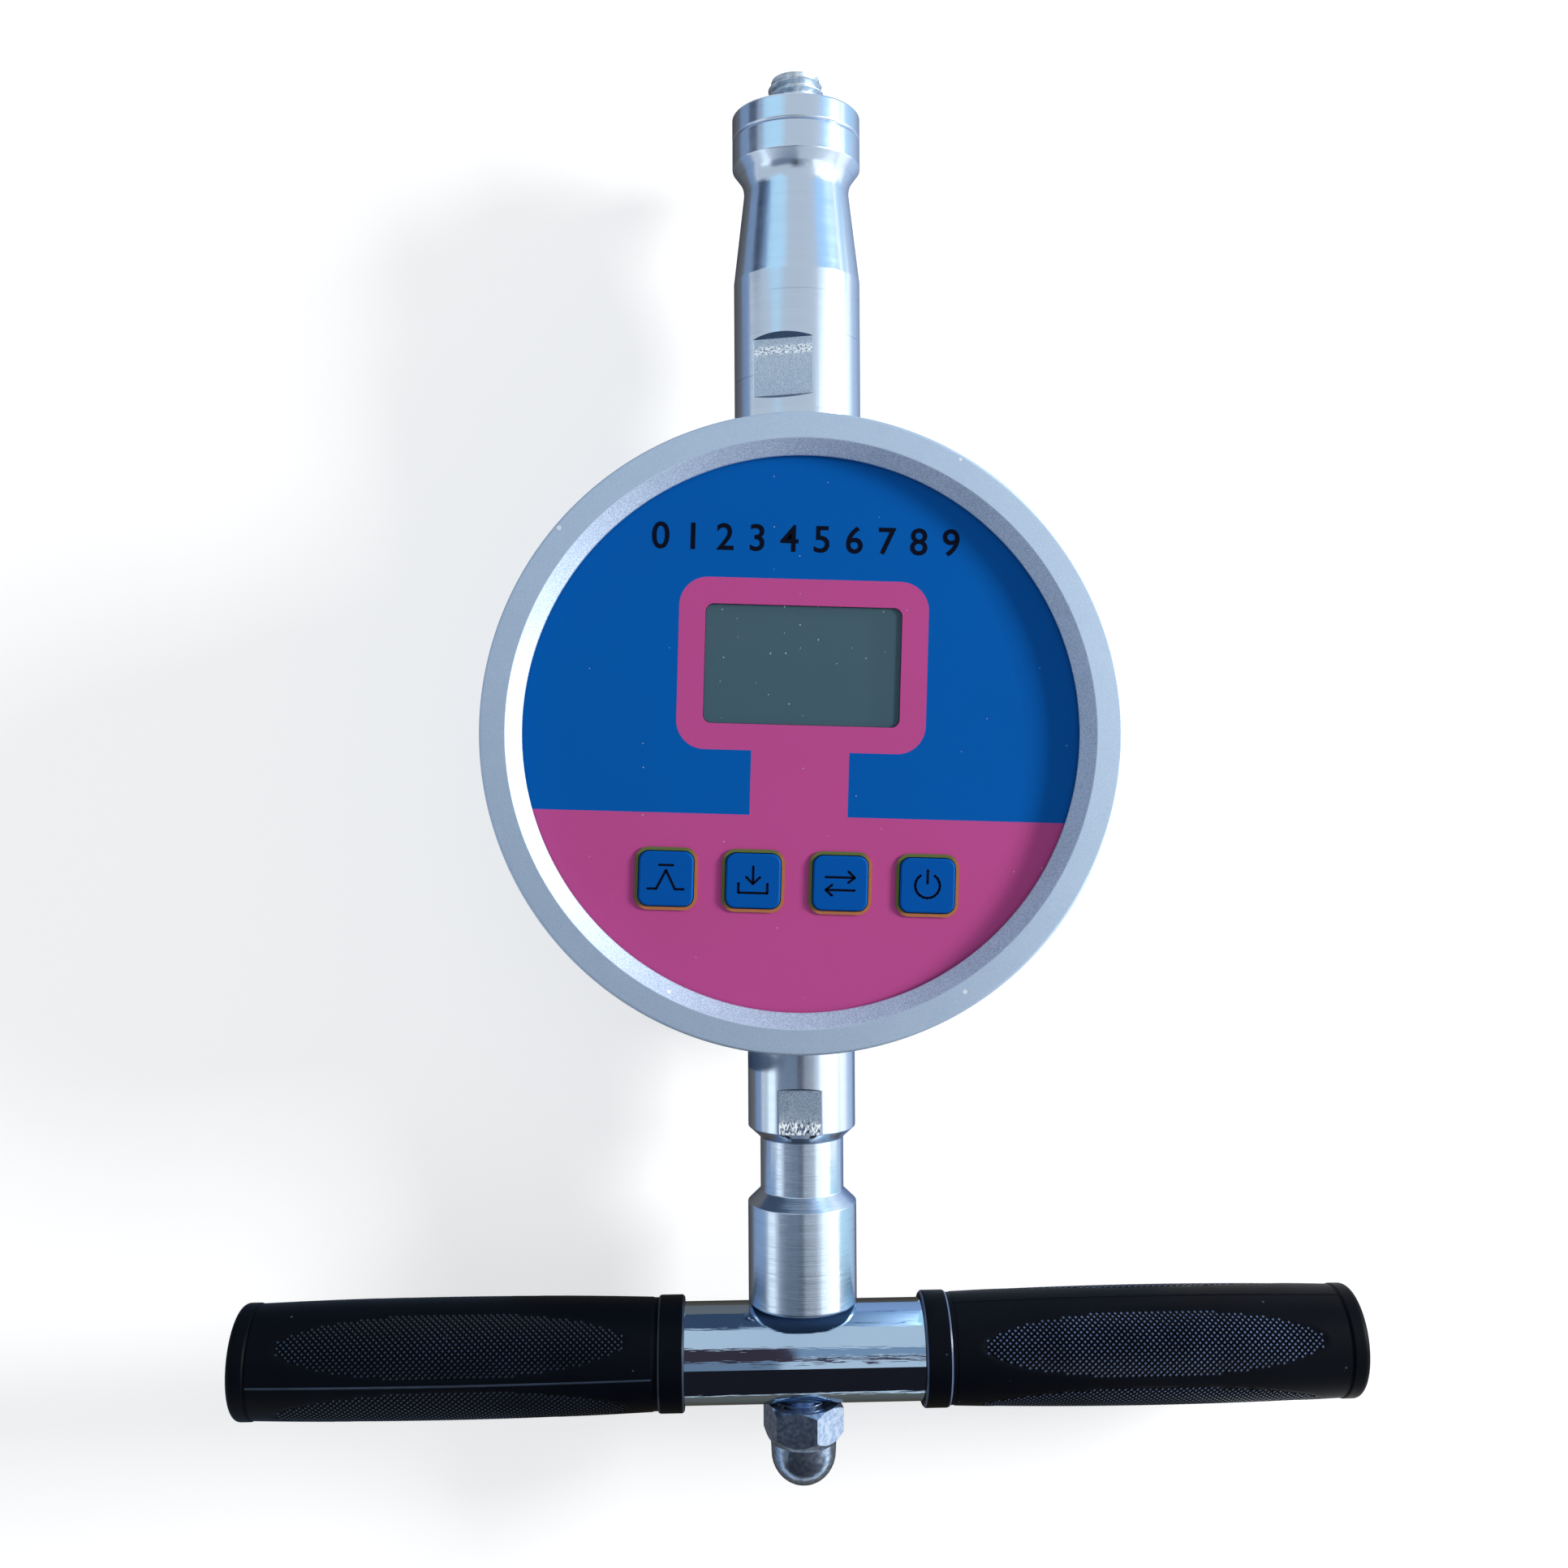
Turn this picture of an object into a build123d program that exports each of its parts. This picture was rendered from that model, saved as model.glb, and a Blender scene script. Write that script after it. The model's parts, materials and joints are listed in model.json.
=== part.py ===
from build123d import *
import os
from math import cos, radians, sin, sqrt, tan

# Handheld tester for the bearing capacity of foundation soil: a round gauge head with a load cell inside,
# a stem that carries the probe rod on one side and a stem with a T-handle on the other.
# The head lies on its back. The origin is the middle of the back cover's outer face, +X runs to the
# right-hand grip, +Y along the shaft to the probe stud and +Z out of the dial.
# Lengths are millimetres and angles degrees.

# Shaft
axis_height = 30.0
stem_diameter = 32.0
upper_stem_reach = 42.0
taper_length = 25.0
taper_top_diameter = 26.0
flange_cone_length = 4.2
flange_diameter = 32.4
flange_thickness = 7.0
flange_fillet = 3.5
thrust_ring_thickness = 6.1
ring_break = 0.45
edge_break = 0.7
upper_flat_across = 28.0
upper_flat_width = 14.0
upper_flat_setback = 17.0
upper_flat_turn = 15.0

# Threaded stud for the probe rod
stud_diameter = 14.0
stud_proud = 9.7
stud_depth = 16.0
stud_lead = 1.0
stud_lead_length = 2.4
stud_relief_width = 1.2
stud_relief_depth = 1.2
ring_fit = 0.1

# Stem and post on the handle side
lower_stem_diameter = 27.2
lower_stem_reach = 28.0
lower_stem_chamfer = 2.8
lower_flat_across = 25.0
lower_flat_length = 13.7
lower_flat_turn = 2.6
neck_diameter = 21.1
neck_length = 13.4
collar_diameter = 27.5
collar_chamfer = 3.1
collar_length = 25.8
post_thread_diameter = 14.0
post_thread_length = 17.0
thread_end_gap = 0.3

# Handle bar, its clamping stud and cap nut
handle_turn = 2.2
bar_diameter = 25.0
bar_wall = 1.5
bar_seat_gap = 0.2
bar_fit = 0.1
handle_stud_diameter = 12.0
handle_stud_hold = 17.0
sleeve_wall = 2.0
nut_across = 18.0
nut_hex_height = 8.7
nut_height = 20.9
nut_dome_diameter = 16.4
nut_thread_depth = 16.0
nut_seat_chamfer = 38.0
nut_dome_chamfer = 50.0
nut_turn = 19.0

# Rubber grips
grip_inset = 30.0
grip_length = 111.3
grip_end_wall = 3.5
grip_collar_diameter = 28.4
grip_collar_width = 6.5
grip_groove_width = 1.5
grip_neck_diameter = 27.5
grip_belly_diameter = 29.4
grip_tail_diameter = 27.8
grip_rim_diameter = 28.2
grip_rim_width = 5.0
grip_rim_round = 1.6
patch_length = 88.0
patch_width = 17.2
patch_depth = 0.35
patch_spread = 77.0
patch_turn_left = 32.0
patch_turn_right = 20.0

# Gauge case, bezel and back cover
bezel_diameter = 150.0
bezel_flat_width = 6.1
bezel_cone_width = 3.4
bezel_cone_depth = 3.4
bezel_lip = 0.6
bezel_wall = 3.5
bezel_edge_round = 0.6
bezel_overhang = 2.0
bezel_thread_length = 7.7
bezel_gap = 0.4
case_wall = 7.0
boss_width = 44.0
boss_depth = 6.0
boss_margin = 3.5
stem_seat_depth = 3.0
seat_clearance = 0.5
seal_wall = 2.0
seal_fit = 0.1
seal_length = 9.0
cover_thickness = 4.0
cover_chamfer = 1.0
back_gasket_thickness = 0.8
gasket_margin = 0.3
cover_screw_count = 6
cover_screw_diameter = 3.0
cover_screw_head = 6.0
cover_screw_length = 14.0
screw_clearance = 0.1
head_sink = 0.1

# Dial: plate, printed films, window and keys, turned a little against the shaft
dial_turn = -1.9
plate_thickness = 2.0
plate_fit = 0.3
film_thickness = 0.5
dial_gasket_thickness = 0.5
window_width = 46.4
window_height = 28.2
window_corner = 2.0
window_rise = 16.2
window_fit = 0.1
window_border = 6.2
border_corner = 6.7
border_neck_width = 23.1
dial_chord_drop = 19.3
key_size = 12.9
key_corner = 2.3
key_top_round = 0.5
key_gap = 0.2
key_frame_width = 0.75
key_frame_thickness = 0.4
key_pitch = 20.5
key_row_drop = 34.8
key_proud = 1.0
key_travel = 0.7
key_flange = 1.2
key_flange_thickness = 1.0
key_slack = 0.1
key_stem_diameter = 4.0
key_names = ("peak", "store", "send", "power")

# Display module and main board
board_clearance = 0.8
board_thickness = 1.6
board_margin = 2.0
standoff_length = 8.6
standoff_diameter = 6.0
standoff_inset = 5.5
standoff_angle = 25.0
board_screw_diameter = 3.0
board_screw_length = 6.0
board_screw_head = 5.5
board_screw_head_height = 2.0
lcd_width = 52.0
lcd_height = 34.0
lcd_thickness = 2.8
lcd_gap = 0.4
lcd_fit = 0.1
holder_wall = 2.0
holder_ledge = 4.0
holder_rim = 1.4
switch_size = 6.0
switch_height = 3.5
plunger_diameter = 3.5
plunger_proud = 1.5
plunger_depth = 1.2
plunger_fit = 0.1
plunger_floor = 0.4
chip_size = 14.0
chip_thickness = 1.6
chip_pitch = 22.0
connector_width = 8.0
connector_length = 12.0
connector_height = 6.0

# Load cell between the stems
cell_width = 50.0
cell_height = 64.0
cell_thickness = 25.4
cell_slot = 4.0
cell_slot_rise = 14.0
cell_web = 10.0
cell_hole_diameter = 12.0
cell_hole_pitch = 16.0
cell_cover_width = 36.0
cell_cover_height = 20.0
cell_cover_thickness = 1.0
spigot_diameter = 16.0
spigot_depth = 12.0
jam_nut_across = 24.0
jam_nut_height = 8.0
shoulder_gap = 10.0
case_nut_across = 30.0
case_nut_height = 6.0
case_thread_diameter = 20.0
gland_diameter = 7.0
gland_length = 6.0
gland_drop = 22.0
cable_diameter = 2.6
cable_bend = 5.0

# Batteries and data socket
battery_diameter = 18.5
battery_length = 65.0
battery_fit = 0.15
cradle_wall = 1.8
cradle_floor = 2.0
cradle_height = 10.0
cradle_clearance = 1.0
lead_diameter = 2.0
lead_bend = 3.0
lead_rise = 7.0
socket_diameter = 12.0
socket_flange_diameter = 16.0
socket_flange_thickness = 1.4
socket_rise = 6.0
socket_length = 16.0
socket_slot_width = 9.2
socket_slot_height = 3.4
socket_slot_depth = 7.0
socket_tongue_width = 6.7
socket_tongue_height = 0.8
socket_nut_across = 16.0
socket_nut_height = 3.0
socket_seat_depth = 0.6

# Radii of the gauge head, from the bezel inwards
bezel_radius = bezel_diameter / 2
flat_radius = bezel_radius - bezel_flat_width
dial_radius = flat_radius - bezel_cone_width
skirt_bore = bezel_radius - bezel_wall
case_radius = bezel_radius - bezel_overhang
case_bore = case_radius - case_wall
plate_radius = skirt_bore - plate_fit
boss_face = case_bore - boss_depth
board_radius = boss_face - board_margin
cover_screw_circle = case_radius - case_wall / 2

# Heights of the gauge head, from the back face to the bezel's front
case_back = cover_thickness + back_gasket_thickness
board_back = axis_height + stem_diameter / 2 + board_clearance
board_front = board_back + board_thickness
plate_back = board_front + standoff_length
plate_front = plate_back + plate_thickness
film_front = plate_front + film_thickness
lip_back = film_front + dial_gasket_thickness
cone_back = lip_back + bezel_lip
bezel_front = cone_back + bezel_cone_depth
case_step = plate_back - bezel_thread_length
skirt_back = case_step + bezel_gap

# Places along the shaft, outwards to the probe rod
cell_end = cell_height / 2
stem_shoulder = cell_end + jam_nut_height + shoulder_gap
taper_foot = case_radius + upper_stem_reach
taper_top = taper_foot + taper_length
flange_back = taper_top + flange_cone_length
flange_front = flange_back + flange_thickness
ring_front = flange_front + thrust_ring_thickness
stud_front = ring_front + stud_proud
stud_foot = flange_front - stud_depth
upper_flat_start = taper_foot - upper_flat_setback - upper_flat_width

# Places along the shaft, outwards to the handle
stem_seat = -(case_radius - stem_seat_depth)
case_nut_inner = -(boss_face - case_nut_height)
lower_stem_end = -(case_radius + lower_stem_reach)
neck_end = lower_stem_end - neck_length
collar_start = neck_end - collar_chamfer
collar_end = collar_start - collar_length
bar_centre = collar_end - bar_seat_gap - bar_diameter / 2
nut_top = bar_centre - bar_diameter / 2 - bar_seat_gap
nut_hex_end = nut_top - nut_hex_height
nut_end = nut_top - nut_height
post_thread_top = lower_stem_end + post_thread_length
handle_stud_top = collar_end + handle_stud_hold
handle_stud_end = nut_top - nut_thread_depth + thread_end_gap

# Planes and axes that the pieces share
shaft_plane = Plane.XY.offset(axis_height)
shaft_axis = Axis((0, 0, axis_height), (0, 1, 0))
bar_along = (cos(radians(handle_turn)), 0, -sin(radians(handle_turn)))
bar_up = (sin(radians(handle_turn)), 0, cos(radians(handle_turn)))
bar_plane = Plane(origin=(0, bar_centre, axis_height), x_dir=bar_along, z_dir=bar_up)
bar_axis = Axis(bar_plane.origin, bar_plane.x_dir)
key_row_half = (len(key_names) - 1) / 2 * key_pitch
key_places = [(place * key_pitch - key_row_half, -key_row_drop) for place in range(len(key_names))]
key_hole = key_size + 2 * key_gap
key_hole_corner = key_corner + key_gap
window_place = (0, window_rise)


def across_shaft(place, turn=0):
    """Plane square to the shaft, turned about it so that its y axis points back from a turned flat."""
    along = (cos(radians(turn)), 0, sin(radians(turn)))
    return Plane(origin=(0, place, axis_height), x_dir=along, z_dir=(0, 1, 0))


def dial_plane(height):
    """Plane of the dial at a height, turned with the dial."""
    along = (cos(radians(dial_turn)), sin(radians(dial_turn)), 0)
    return Plane(origin=(0, 0, height), x_dir=along, z_dir=(0, 0, 1))


def turned_section(*outline):
    """Half section of a piece turned about the shaft, as (radius, place along the shaft)."""
    with BuildSketch(shaft_plane) as section:
        with BuildLine():
            Polyline(*outline, close=True)
        make_face()
    return section.sketch


def ring_section(*outline):
    """Half section of a piece turned about the gauge's own axis, as (radius, height)."""
    with BuildSketch(Plane.XZ) as section:
        with BuildLine():
            Polyline(*outline, close=True)
        make_face()
    return section.sketch


def flats_section(plane, across, depth):
    """Two rectangles that mill a pair of spanner flats off a round stem."""
    with BuildSketch(plane) as section:
        with GridLocations(0, across + depth, 1, 2):
            Rectangle(2 * depth, depth)
    return section.sketch


def pink_outline():
    """The pink print on the dial: the lower segment, the neck and the border round the window."""
    segment_height = plate_radius - dial_chord_drop
    neck_height = dial_chord_drop + window_rise
    with BuildSketch(dial_plane(plate_front)) as outline:
        with Locations((0, -dial_chord_drop)):
            Rectangle(2 * plate_radius, segment_height, align=(Align.CENTER, Align.MAX))
            Rectangle(border_neck_width, neck_height, align=(Align.CENTER, Align.MIN))
        with Locations(window_place):
            RectangleRounded(
                window_width + 2 * window_border, window_height + 2 * window_border, border_corner
            )
        Circle(plate_radius, mode=Mode.INTERSECT)
    return outline.sketch


def key_holes(height):
    """The four key openings at a height."""
    with BuildSketch(dial_plane(height)) as holes:
        with Locations(*key_places):
            RectangleRounded(key_hole, key_hole, key_hole_corner)
    return holes.sketch


def window_opening(height):
    """The window's opening at a height."""
    with BuildSketch(dial_plane(height)) as opening:
        with Locations(window_place):
            RectangleRounded(window_width, window_height, window_corner)
    return opening.sketch


def hex_nut(start, end, across, bore, turn=0):
    """Plain hexagon nut on the shaft between two places."""
    with BuildPart() as nut:
        with BuildSketch(across_shaft(start, turn)):
            RegularPolygon(across / 2, 6, major_radius=False)
            Circle(bore / 2, mode=Mode.SUBTRACT)
        extrude(amount=end - start)
    return nut


def wire(points, diameter, bend):
    """Round lead through the points, with an arc at each corner."""
    with BuildPart() as lead:
        with BuildLine():
            route = FilletPolyline(*points, radius=bend)
        with BuildSketch(Plane(origin=route @ 0, z_dir=route % 0)):
            Circle(diameter / 2)
        sweep()
    return lead


def save(piece, name):
    """Label a finished piece and write it."""
    piece.part.label = name
    export_step(piece.part, f"parts/{name}.step")


os.makedirs("parts", exist_ok=True)

# Upper stem: spigot into the load cell, parallel stem with spanner flats, taper and coned flange
stem_radius = stem_diameter / 2
flange_radius = flange_diameter / 2
with BuildPart() as upper_stem:
    section = turned_section(
        (0, cell_end - spigot_depth),
        (spigot_diameter / 2, cell_end - spigot_depth),
        (spigot_diameter / 2, stem_shoulder),
        (stem_radius, stem_shoulder),
        (stem_radius, taper_foot),
        (taper_top_diameter / 2, taper_top),
        (flange_radius, flange_back),
        (flange_radius, flange_front - ring_break),
        (flange_radius - ring_break, flange_front),
        (stud_diameter / 2, flange_front),
        (stud_diameter / 2, stud_foot),
        (0, stud_foot),
    )
    revolve(section, axis=shaft_axis)
    rims = upper_stem.edges().filter_by(GeomType.CIRCLE)
    fillet(rims.sort_by(lambda rim: abs(rim.arc_center.Y - taper_top))[0], flange_fillet)
    flat_plane = across_shaft(upper_flat_start, upper_flat_turn)
    flats = flats_section(flat_plane, upper_flat_across, stem_diameter)
    extrude(flats, amount=upper_flat_width, mode=Mode.SUBTRACT)
save(upper_stem, "upper_stem")

# Thrust ring that the probe rod is tightened against
with BuildPart() as thrust_ring:
    section = turned_section(
        (stud_diameter / 2 + ring_fit, flange_front),
        (flange_radius - ring_break, flange_front),
        (flange_radius, flange_front + ring_break),
        (flange_radius, ring_front - ring_break),
        (flange_radius - ring_break, ring_front),
        (stud_diameter / 2 + ring_fit, ring_front),
    )
    revolve(section, axis=shaft_axis)
save(thrust_ring, "thrust_ring")

# Stud for the probe rod, with a relief groove at the ring and a lead at its tip
stud_radius = stud_diameter / 2
with BuildPart() as probe_stud:
    section = turned_section(
        (0, stud_foot),
        (stud_radius, stud_foot),
        (stud_radius, ring_front),
        (stud_radius - stud_relief_depth, ring_front),
        (stud_radius - stud_relief_depth, ring_front + stud_relief_width),
        (stud_radius, ring_front + stud_relief_width),
        (stud_radius, stud_front - stud_lead_length),
        (stud_radius - stud_lead, stud_front),
        (0, stud_front),
    )
    revolve(section, axis=shaft_axis)
save(probe_stud, "probe_stud")

# Lower stem: spigot, thread through the case wall, shoulder and an end bored for the handle post
lower_radius = lower_stem_diameter / 2
with BuildPart() as lower_stem:
    section = turned_section(
        (0, spigot_depth - cell_end),
        (spigot_diameter / 2, spigot_depth - cell_end),
        (spigot_diameter / 2, case_nut_inner),
        (case_thread_diameter / 2, case_nut_inner),
        (case_thread_diameter / 2, stem_seat),
        (lower_radius, stem_seat),
        (lower_radius, lower_stem_end + lower_stem_chamfer),
        (neck_diameter / 2, lower_stem_end),
        (post_thread_diameter / 2, lower_stem_end),
        (post_thread_diameter / 2, post_thread_top),
        (0, post_thread_top),
    )
    revolve(section, axis=shaft_axis)
    flat_plane = across_shaft(lower_stem_end, lower_flat_turn)
    flats = flats_section(flat_plane, lower_flat_across, lower_stem_diameter)
    extrude(flats, amount=lower_flat_length, mode=Mode.SUBTRACT)
save(lower_stem, "lower_stem")

# Handle post: threaded end, neck and collar, bored for the clamping stud
collar_radius = collar_diameter / 2
with BuildPart() as handle_post:
    section = turned_section(
        (0, post_thread_top - thread_end_gap),
        (post_thread_diameter / 2, post_thread_top - thread_end_gap),
        (post_thread_diameter / 2, lower_stem_end),
        (neck_diameter / 2, lower_stem_end),
        (neck_diameter / 2, neck_end),
        (collar_radius, collar_start),
        (collar_radius, collar_end + edge_break),
        (collar_radius - edge_break, collar_end),
        (handle_stud_diameter / 2, collar_end),
        (handle_stud_diameter / 2, handle_stud_top),
        (0, handle_stud_top),
    )
    revolve(section, axis=shaft_axis)
save(handle_post, "handle_post")

# Clamping stud through the bar
with BuildPart() as handle_stud:
    with BuildSketch(across_shaft(handle_stud_end)):
        Circle(handle_stud_diameter / 2)
    extrude(amount=handle_stud_top - thread_end_gap - handle_stud_end)
    chamfer(handle_stud.edges().filter_by(GeomType.CIRCLE), edge_break)
save(handle_stud, "handle_stud")

# Cap nut: hexagon with chamfered corners, dome and a blind thread with a lead-in
nut_corner_radius = nut_across / 2 / cos(radians(30))
nut_corner = nut_corner_radius - nut_across / 2
nut_seat_drop = nut_corner * tan(radians(nut_seat_chamfer))
nut_dome_drop = nut_corner * tan(radians(nut_dome_chamfer))
dome_radius = nut_dome_diameter / 2
with BuildPart() as cap_nut:
    with BuildSketch(across_shaft(nut_top, nut_turn)):
        RegularPolygon(nut_across / 2, 6, major_radius=False, rotation=30)
    extrude(amount=-nut_hex_height)
    barrel = turned_section(
        (0, nut_top),
        (nut_across / 2, nut_top),
        (nut_corner_radius, nut_top - nut_seat_drop),
        (nut_corner_radius, nut_hex_end + nut_dome_drop),
        (nut_across / 2, nut_hex_end),
        (0, nut_hex_end),
    )
    revolve(barrel, axis=shaft_axis, mode=Mode.INTERSECT)
    with BuildSketch(shaft_plane) as dome:
        with BuildLine():
            Line((0, nut_hex_end), (dome_radius, nut_hex_end))
            side = Line((dome_radius, nut_hex_end), (dome_radius, nut_end + dome_radius))
            RadiusArc(side @ 1, (0, nut_end), dome_radius)
            Line((0, nut_end), (0, nut_hex_end))
        make_face()
    revolve(dome.sketch, axis=shaft_axis)
    bore = turned_section(
        (0, nut_top),
        (handle_stud_diameter / 2 + edge_break, nut_top),
        (handle_stud_diameter / 2, nut_top - edge_break),
        (handle_stud_diameter / 2, nut_top - nut_thread_depth),
        (0, nut_top - nut_thread_depth),
    )
    revolve(bore, axis=shaft_axis, mode=Mode.SUBTRACT)
save(cap_nut, "cap_nut")

# Handle bar: tube with a cross hole for the clamping stud
bar_half = grip_inset + grip_length - grip_end_wall
bar_bore = bar_diameter / 2 - bar_wall
stud_hole = handle_stud_diameter / 2 + bar_fit
bar_end_plane = Plane(origin=bar_plane.origin - bar_plane.x_dir * bar_half, z_dir=bar_plane.x_dir)
with BuildPart() as handle_bar:
    with BuildSketch(bar_end_plane):
        Circle(bar_diameter / 2)
        Circle(bar_bore, mode=Mode.SUBTRACT)
    extrude(amount=2 * bar_half)
    with BuildSketch(across_shaft(bar_centre)):
        Circle(stud_hole)
    extrude(amount=bar_diameter, both=True, mode=Mode.SUBTRACT)
save(handle_bar, "handle_bar")

# Spacer sleeve that keeps the nut from crushing the tube
sleeve_radius = stud_hole + sleeve_wall
sleeve_half = sqrt(bar_bore**2 - sleeve_radius**2)
with BuildPart() as spacer_sleeve:
    with BuildSketch(across_shaft(bar_centre)):
        Circle(sleeve_radius)
        Circle(stud_hole, mode=Mode.SUBTRACT)
    extrude(amount=sleeve_half, both=True)
save(spacer_sleeve, "spacer_sleeve")

# Rubber grips: collar at the inner end, a swelling body with oval patches sunk in it, rim at the outer end
body_start = grip_inset + grip_collar_width + grip_groove_width
rim_start = grip_inset + grip_length - grip_rim_width
patch_centre = (body_start + rim_start) / 2


def grip_body(inset):
    """Half section of a grip's swelling body as (place along the bar, radius), shrunk by an inset."""
    with BuildSketch(bar_plane) as section:
        with BuildLine():
            swell = ThreePointArc(
                (body_start, grip_neck_diameter / 2 - inset),
                (patch_centre, grip_belly_diameter / 2 - inset),
                (rim_start, grip_tail_diameter / 2 - inset),
            )
            Polyline(swell @ 1, (rim_start, 0), (body_start, 0), swell @ 0)
        make_face()
    return section.sketch


def grip(side, patch_turn):
    """One grip on the bar, on the side +1 or -1, with two opposite pairs of patches. The turn is that of the
    first patch from the dial's side towards the probe."""
    pair = (patch_turn, patch_turn - patch_spread)
    with BuildPart() as patches:
        for turn in [*pair, *(angle + 180 for angle in pair)]:
            outward = bar_plane.z_dir * cos(radians(turn)) + bar_plane.y_dir * sin(radians(turn))
            middle = bar_plane.origin + bar_plane.x_dir * patch_centre
            with BuildSketch(Plane(origin=middle, x_dir=bar_plane.x_dir, z_dir=outward)):
                Ellipse(patch_length / 2, patch_width / 2)
            extrude(amount=grip_belly_diameter)
        revolve(grip_body(patch_depth), axis=bar_axis, mode=Mode.SUBTRACT)
    with BuildPart() as body:
        revolve(grip_body(0), axis=bar_axis)
        with BuildSketch(bar_plane):
            with Locations((grip_inset, 0)):
                Rectangle(grip_collar_width, grip_collar_diameter / 2, align=Align.MIN)
            with Locations((grip_inset + grip_collar_width, 0)):
                Rectangle(grip_groove_width, grip_neck_diameter / 2, align=Align.MIN)
            with Locations((rim_start, 0)):
                Rectangle(grip_rim_width, grip_rim_diameter / 2, align=Align.MIN)
        revolve(axis=bar_axis)
        end_face = body.faces().filter_by(GeomType.PLANE).sort_by(bar_axis)[-1]
        fillet(end_face.edges(), grip_rim_round)
        add(patches.part, mode=Mode.SUBTRACT)
        with BuildSketch(Plane(origin=bar_plane.origin, z_dir=bar_plane.x_dir)):
            Circle(bar_diameter / 2)
        extrude(amount=bar_half, mode=Mode.SUBTRACT)
        if side < 0:
            mirror(about=Plane(origin=bar_plane.origin, z_dir=bar_plane.x_dir), mode=Mode.REPLACE)
    return body


save(grip(-1, patch_turn_left), "grip_left")
save(grip(1, patch_turn_right), "grip_right")

# Case ring: wall with a stepped front for the bezel, bosses for the two stems and a seat for the socket
socket_height = axis_height + socket_rise
socket_seat = case_radius - socket_seat_depth
socket_plane = Plane(origin=(-socket_seat, 0, socket_height), x_dir=(0, 1, 0), z_dir=(-1, 0, 0))
seal_radius = stem_radius + seal_fit + seal_wall
boss_back = axis_height - seal_radius - boss_margin
boss_height = 2 * (seal_radius + boss_margin)
with BuildPart() as case_body:
    section = ring_section(
        (case_bore, case_back),
        (case_radius, case_back),
        (case_radius, case_step),
        (skirt_bore, case_step),
        (skirt_bore, plate_back),
        (case_bore, plate_back),
    )
    revolve(section, axis=Axis.Z)
    with BuildSketch(Plane.XY.offset(boss_back)):
        with Locations((0, boss_face), (0, -boss_face)):
            Rectangle(boss_width, 2 * (case_bore - boss_face) + case_wall)
        Circle((case_bore + case_radius) / 2, mode=Mode.INTERSECT)
        Rectangle(boss_width, 2 * boss_face, mode=Mode.SUBTRACT)
    extrude(amount=boss_height)
    with BuildSketch(across_shaft(0)):
        Circle(seal_radius)
    extrude(amount=bezel_radius, mode=Mode.SUBTRACT)
    with BuildSketch(across_shaft(0)):
        Circle(case_thread_diameter / 2)
    extrude(amount=-bezel_radius, mode=Mode.SUBTRACT)
    with BuildSketch(across_shaft(stem_seat)):
        Circle(lower_radius + seat_clearance)
    extrude(amount=-bezel_radius, mode=Mode.SUBTRACT)
    with BuildSketch(Plane.XY.offset(case_back)):
        with PolarLocations(cover_screw_circle, cover_screw_count):
            Circle(cover_screw_diameter / 2)
    extrude(amount=cover_screw_length - case_back + head_sink + thread_end_gap, mode=Mode.SUBTRACT)
    with BuildSketch(socket_plane):
        Circle(socket_flange_diameter / 2 + seat_clearance)
    extrude(amount=bezel_radius, mode=Mode.SUBTRACT)
    with BuildSketch(socket_plane):
        Circle(socket_diameter / 2)
    extrude(amount=-2 * case_wall, mode=Mode.SUBTRACT)
save(case_body, "case_body")

# Rubber bush that seals the floating upper stem in the case wall
with BuildPart() as stem_seal:
    with BuildSketch(across_shaft(boss_face)):
        Circle(seal_radius)
        Circle(stem_radius + seal_fit, mode=Mode.SUBTRACT)
    extrude(amount=seal_length)
save(stem_seal, "stem_seal")

# Back cover, its gasket and its countersunk screws
cover_back = Plane(origin=(0, 0, 0), z_dir=(0, 0, -1))
with BuildPart() as back_cover:
    with BuildSketch(Plane.XY):
        Circle(case_radius)
    extrude(amount=cover_thickness)
    chamfer(back_cover.faces().sort_by(Axis.Z)[0].edges(), cover_chamfer)
    with Locations(cover_back):
        with PolarLocations(cover_screw_circle, cover_screw_count):
            CounterSinkHole(
                cover_screw_diameter / 2 + screw_clearance,
                cover_screw_head / 2 + head_sink,
                counter_sink_angle=90,
            )
save(back_cover, "back_cover")

with BuildPart() as back_gasket:
    with BuildSketch(Plane.XY.offset(cover_thickness)):
        Circle(case_radius - gasket_margin)
        Circle(case_bore + gasket_margin, mode=Mode.SUBTRACT)
        with PolarLocations(cover_screw_circle, cover_screw_count):
            Circle(cover_screw_diameter / 2 + screw_clearance, mode=Mode.SUBTRACT)
    extrude(amount=back_gasket_thickness)
save(back_gasket, "back_gasket")

screw_radius = cover_screw_diameter / 2
screw_head_height = cover_screw_head / 2 - screw_radius
with BuildPart() as cover_screw:
    section = ring_section(
        (0, head_sink),
        (cover_screw_head / 2, head_sink),
        (screw_radius, head_sink + screw_head_height),
        (screw_radius, head_sink + cover_screw_length),
        (0, head_sink + cover_screw_length),
    )
    revolve(section, axis=Axis.Z)
with BuildPart() as cover_screws:
    with PolarLocations(cover_screw_circle, cover_screw_count):
        add(cover_screw.part)
save(cover_screws, "cover_screws")

# Bezel: front flat, inward cone, lip that clamps the dial and a skirt screwed over the case
with BuildPart() as bezel:
    section = ring_section(
        (skirt_bore, skirt_back),
        (bezel_radius, skirt_back),
        (bezel_radius, bezel_front),
        (flat_radius, bezel_front),
        (dial_radius, cone_back),
        (dial_radius, lip_back),
        (skirt_bore, lip_back),
    )
    revolve(section, axis=Axis.Z)
    front_rim = bezel.edges().filter_by(GeomType.CIRCLE).group_by(Axis.Z)[-1].sort_by(SortBy.LENGTH)[-1]
    fillet(front_rim, bezel_edge_round)
save(bezel, "bezel")

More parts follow.
